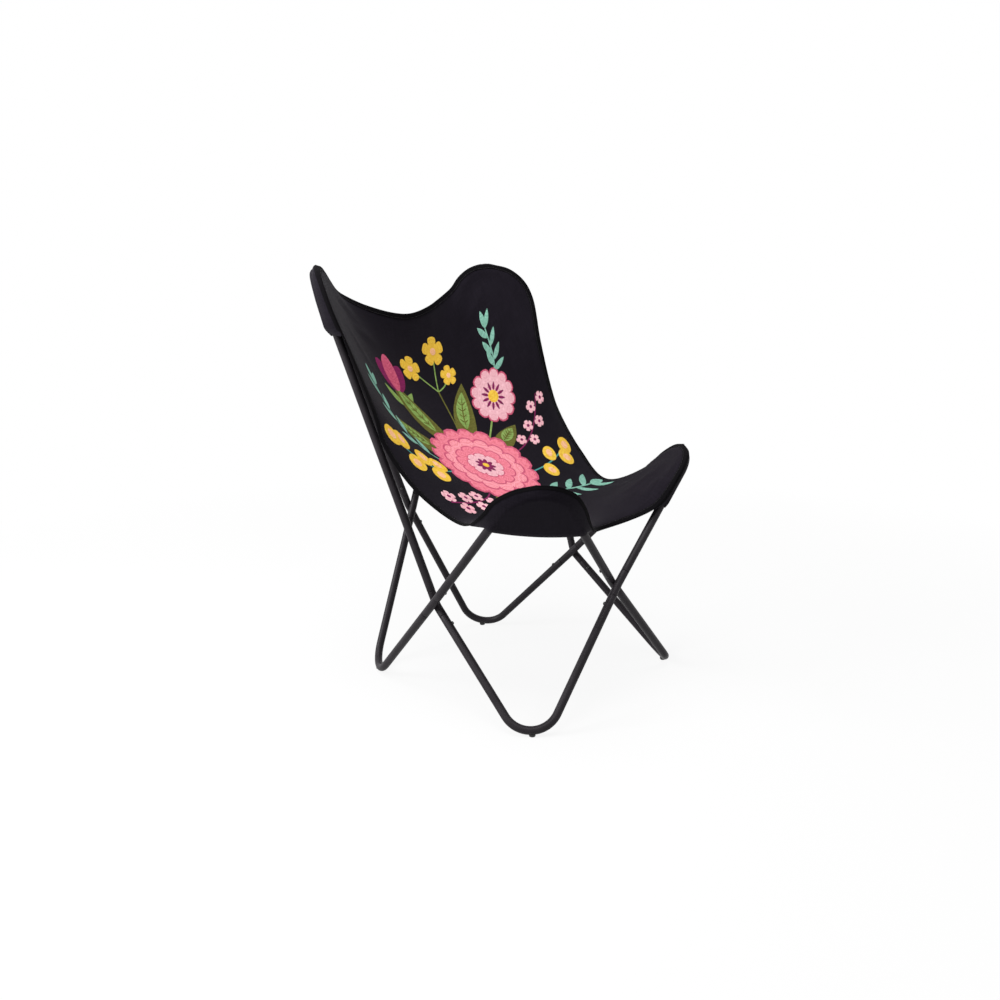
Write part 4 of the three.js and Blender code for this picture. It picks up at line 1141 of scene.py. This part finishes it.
def mouth_reach(name, way):
    """How many rim points lie between the top of a tip and the mouth of its pocket, and the mouth's slant."""
    tip = tips[name]
    order = (rim_corner[name] + way * np.arange(len(rim) // 4)) % len(rim)
    offset = rim[order] - np.array(tip["top"])
    down = offset @ np.array(tip["down"])
    edge = "side" if offset[8] @ np.array(tip["across"]) < 0 else "end"
    depth_down = POCKET_DEPTH[tip["row"]][edge]
    past = int(np.argmax(down > depth_down))
    reach = past - 1 + (depth_down - down[past - 1]) / (down[past] - down[past - 1])
    return reach, MOUTH_SLANT[tip["row"]][edge]


def nearest_on_tip(tip, points):
    """Middle of a tip's tube beside each point of the rim, the way out from it and the way along it."""
    top, across_way, down_way = (np.array(tip[key]) for key in ("top", "across", "down"))
    across, down = (points - top) @ across_way, (points - top) @ down_way
    turn = np.arctan2(across, tip["bend"] - down)
    last = math.pi / 2 - tip["half"]
    angle = np.clip(turn, -last, last)[:, None]
    out = across_way * np.sin(angle) - down_way * np.cos(angle)
    axis = top + down_way * tip["bend"] + out * tip["bend"]
    run = down_way * np.sin(np.abs(angle)) + across_way * np.sign(angle) * np.cos(angle)
    further = np.where(np.abs(turn) > last, np.sum((points - axis) * run, axis=1), 0)
    return out, axis + run * further[:, None], run


def round_tube(angle, axis, out, inside, wrap_r, above):
    """Points of a pocket round its tube, kept below the edge of the panel."""
    height = np.minimum(wrap_r * np.sin(angle), above)
    return axis + out * (wrap_r * np.cos(angle))[:, None] + inside * height[:, None]


pockets, covers = {}, {}
for name, tip in tips.items():
    row = tip["row"]
    (before, slant_before), (after, slant_after) = mouth_reach(name, -1), mouth_reach(name, 1)
    stations = np.linspace(rim_corner[name] - before, rim_corner[name] + after, 2 * RIM_STEPS + 1)
    to_mouth = np.abs(np.linspace(-1, 1, len(stations)))
    edge, edge_up = (rim_at(stations, line) for line in (rim, rim_up))
    edge = edge - edge_up * LAYER_STEP
    out, axis, run = nearest_on_tip(tip, edge)
    slant = np.where(stations < rim_corner[name], slant_before, slant_after) * to_mouth ** 3
    axis = axis - run * slant[:, None]
    inside = np.array(tip["inside"])
    loose = 1 - MOUTH_GRIP * ease(to_mouth, GRIP_FROM, 1.0)
    wrap_r = TUBE_R + CANVAS_T / 2 + (POCKET_SLACK[row] + POCKET_FLARE[row] * to_mouth ** 2) * loose
    beyond, above = np.sum((edge - axis) * out, axis=1), (edge - axis) @ inside
    touch = np.arctan2(above, beyond) - np.arccos(wrap_r / np.maximum(np.hypot(beyond, above), wrap_r))
    wrap = (axis, out, inside, wrap_r, above)
    bulge = TOP_BULGE[row] * loose + PEAK_BULGE[row] * (1 - to_mouth) ** 5
    swell = (out * np.cos(touch)[:, None] + inside * np.sin(touch)[:, None]) * bulge[:, None]
    rings = [edge]
    for share in SWELL_STOPS:
        rings.append(edge + (round_tube(touch, *wrap) - edge) * share + swell * math.sin(math.pi * share))
    for share in np.linspace(0, 1, WRAP_STEPS):
        rings.append(round_tube(touch - (touch + math.pi / 2) * share, *wrap))
    rings = np.stack(rings, axis=1)
    rows = []
    for i in range(RIM_STEPS):
        left, right = rings[i], rings[-1 - i]
        steps = np.linspace(0, 1, FLOOR_CELLS + 1)[1:-1, None]
        bow = MOUTH_BOW * 4 * steps * (1 - steps) * (1 - i / RIM_STEPS) ** 3
        between = left[-1] + (right[-1] - left[-1]) * steps + bow * np.array(tip["down"])
        rows.append(np.concatenate([left, between, right[::-1]]))
    rows = np.array(rows)
    wide = rows.shape[1]
    points = np.concatenate([rows.reshape(-1, 3), rings[RIM_STEPS]])
    faces = grid_faces(RIM_STEPS, wide).tolist()
    last_row, peak = (RIM_STEPS - 1) * wide, RIM_STEPS * wide
    per_ring = rings.shape[1]
    for k in range(per_ring - 1):
        faces.append([last_row + k, last_row + k + 1, peak + k + 1, peak + k])
        far = last_row + wide - 1 - k
        faces.append([far - 1, far, peak + k, peak + k + 1])
    for k in range(per_ring - 1, wide - per_ring):
        faces.append([last_row + k, last_row + k + 1, peak + per_ring - 1])
    flat_places = np.stack([(points - np.array(tip["top"])) @ np.array(tip["across"]),
                            (points - np.array(tip["top"])) @ np.array(tip["down"])], axis=1)
    pocket = cloth_mesh(f"{name}_canvas_pocket", points, faces, flat_places)
    work(pocket, "SUBSURF", levels=1, render_levels=1)
    covers[name] = (stations, rings, BVHTree.FromPolygons(
        [corner.co for corner in pocket.data.vertices], [face.vertices for face in pocket.data.polygons]))
    work(pocket, "SOLIDIFY", thickness=CANVAS_T, offset=0)
    smooth(60)
    finish_piece(pocket, canvas)
    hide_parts(f"{name}_pocket")
    pockets[name] = pocket


# The binding: black twill tape folded over the whole edge of the sling and the pockets, and sewn through
# all the layers with one row of stitches near its inner edge.
TAPE_T = 0.8 * mm
TAPE_WIDE = 18 * mm
TAPE_EASE = 0.15 * mm
TAPE_CLEAR = 0.5 * mm
TAPE_STEPS = 900
TOP_INSETS = (10.5 * mm, 7.5 * mm, 4 * mm, 1 * mm)
EDGE_TURNS = (60, 20, -20, -60)
UNDER_INSETS = (1 * mm, 3.5 * mm, 6.0 * mm)
LAP_FADE = 1.5
STITCH_IN = 8.6 * mm
STITCH_PITCH = 4.2 * mm
STITCH_LONG = 3.1 * mm
STITCH_R = 0.28 * mm
STITCH_RINGS = ((0.0, 0.25), (0.2, 1.0), (0.8, 1.0), (1.0, 0.25))
STITCH_SECTION = ((-1, 0), (0, 1), (1, 0), (0, -0.6))

tape_at = np.linspace(0, len(rim), TAPE_STEPS, endpoint=False)
tape_edge, tape_up, tape_out = (rim_at(tape_at, line) for line in (rim, rim_up, rim_out))
tape_up /= np.linalg.norm(tape_up, axis=1, keepdims=True)
tape_out /= np.linalg.norm(tape_out, axis=1, keepdims=True)
panel_face = grid_faces(LONG_CELLS + 1, ACROSS_CELLS + 1).tolist()
panel_tree = BVHTree.FromPolygons(panel.reshape(-1, 3).tolist(), panel_face)


def on_cloth(points):
    """Nearest places on the middle of the sling, with the way up there."""
    found = [panel_tree.find_nearest(Vector(point)) for point in points]
    place = np.array([hit[0] for hit in found])
    way = np.array([hit[1] for hit in found])
    return place, way


top = CANVAS_T / 2 + TAPE_EASE
tape_over = {}
for name in tips:
    past = (tape_at - rim_corner[name] + len(rim) / 2) % len(rim) - len(rim) / 2
    left_inside = np.minimum(past + mouth_reach(name, -1)[0], mouth_reach(name, 1)[0] - past)
    tape_over[name] = past + rim_corner[name], np.clip(left_inside / LAP_FADE, 0, 1)
layers = (sum(share for _, share in tape_over.values()) * LAYER_STEP)[:, None]


def under_edge(inset):
    """Places of the tape's under side, on the back of the sling or on the outside of a pocket."""
    place, way = on_cloth(tape_edge - tape_out * inset)
    under = place - way * (top + TAPE_T / 2)
    for name, (where, share) in tape_over.items():
        stations, rings, tree = covers[name]
        for i in np.flatnonzero(share):
            begin, near = (np.array([np.interp(where[i], stations, rings[:, j, k]) for k in range(3)]) for j in (0, 1))
            guess = begin + (near - begin) * inset / np.linalg.norm(near - begin)
            hit, normal = tree.find_nearest(Vector(guess))[:2]
            facing = 1 if normal.dot(Vector(tape_out[i] - tape_up[i])) > 0 else -1
            under[i] += (np.array(hit + normal * facing * (top + TAPE_T / 2)) - under[i]) * share[i]
    return under


tape_lines = []
for inset in TOP_INSETS:
    place, way = on_cloth(tape_edge - tape_out * inset)
    tape_lines.append(place + way * (top + TAPE_T / 2))
half_height = top + TAPE_T / 2 + layers / 2
centre = tape_edge - tape_up * layers / 2
for turn in EDGE_TURNS:
    angle = math.radians(turn)
    tape_lines.append(centre + tape_out * (TAPE_T + TAPE_CLEAR) * math.cos(angle)
                      + tape_up * half_height * math.sin(angle))
for inset in UNDER_INSETS:
    tape_lines.append(under_edge(inset))
tape_rows = np.stack(tape_lines, axis=1)
tape_wide = tape_rows.shape[1]
first = (np.arange(TAPE_STEPS)[:, None] * tape_wide + np.arange(tape_wide - 1)[None, :]).ravel()
following = (first + tape_wide) % (TAPE_STEPS * tape_wide)
tape_faces = np.stack([first, following, following + 1, first + 1], axis=1)
tape_run = np.concatenate([[0], np.cumsum(np.linalg.norm(np.diff(tape_edge, axis=0), axis=1))])
tape_flat = np.stack([np.broadcast_to(np.linspace(0, TAPE_WIDE, tape_wide)[None, :], (TAPE_STEPS, tape_wide)),
                      np.broadcast_to(tape_run[:, None], (TAPE_STEPS, tape_wide))], axis=2)
twill = woven_canvas("black_twill_tape", (0.0026, 0.0023, 0.0029), (0.0058, 0.0052, 0.0064), 0.7 * mm, 0.01)
binding = cloth_mesh("twill_edge_binding", tape_rows, tape_faces, tape_flat)
work(binding, "SOLIDIFY", thickness=TAPE_T, offset=0)
smooth(60)
finish_piece(binding, twill)
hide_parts("edge_binding")

rim_total = tape_run[-1] + np.linalg.norm(tape_edge[0] - tape_edge[-1])
stitch_count = int(rim_total / STITCH_PITCH)
stitch_ends = []
for share_along in (0, STITCH_LONG / STITCH_PITCH):
    wanted = (np.arange(stitch_count) + share_along) / stitch_count * rim_total
    where = np.interp(wanted, np.append(tape_run, rim_total), np.append(tape_at, len(rim)))
    inset_from = rim_at(where, rim) - rim_at(where, rim_out) * STITCH_IN
    place, way = on_cloth(inset_from)
    stitch_ends.append((place + way * (top + TAPE_T), way))
(stitch_from, stitch_up), (stitch_to, _) = stitch_ends
stitch_way = stitch_to - stitch_from
stitch_side = np.cross(stitch_way, stitch_up)
stitch_side *= STITCH_R / np.linalg.norm(stitch_side, axis=1, keepdims=True)
stitch_points, stitch_faces = [], []
for share_along, plump in STITCH_RINGS:
    middle = stitch_from + stitch_way * share_along
    for side, rise in STITCH_SECTION:
        stitch_points.append(middle + stitch_side * side * plump + stitch_up * STITCH_R * rise * plump)
stitch_points = np.stack(stitch_points, axis=1)
pattern = [[3, 2, 1, 0], [12, 13, 14, 15]]
pattern += [[4 * j + k, 4 * j + (k + 1) % 4, 4 * j + 4 + (k + 1) % 4, 4 * j + 4 + k]
            for j in range(3) for k in range(4)]
for i in range(stitch_count):
    first_corner = i * stitch_points.shape[1]
    stitch_faces.extend([[first_corner + corner for corner in face] for face in pattern])
thread_black, tree, thread = new_finish("black_sewing_thread")
ply = noise(tree, node(tree, "TexCoord").outputs["Object"], 1600.0, 2.0)
colour_by(tree, thread, ply, (0.007, 0.0065, 0.0078), (0.022, 0.0205, 0.024))
emboss(tree, thread, ply, 0.3, 0.0002)
thread.inputs["Roughness"].default_value = 0.55
stitching = cloth_mesh("binding_stitches", stitch_points, stitch_faces)
only(stitching)
bpy.ops.object.mode_set(mode="EDIT")
close_piece("binding_stitches")
bpy.ops.object.shade_smooth()
finish_piece(stitching, thread_black)
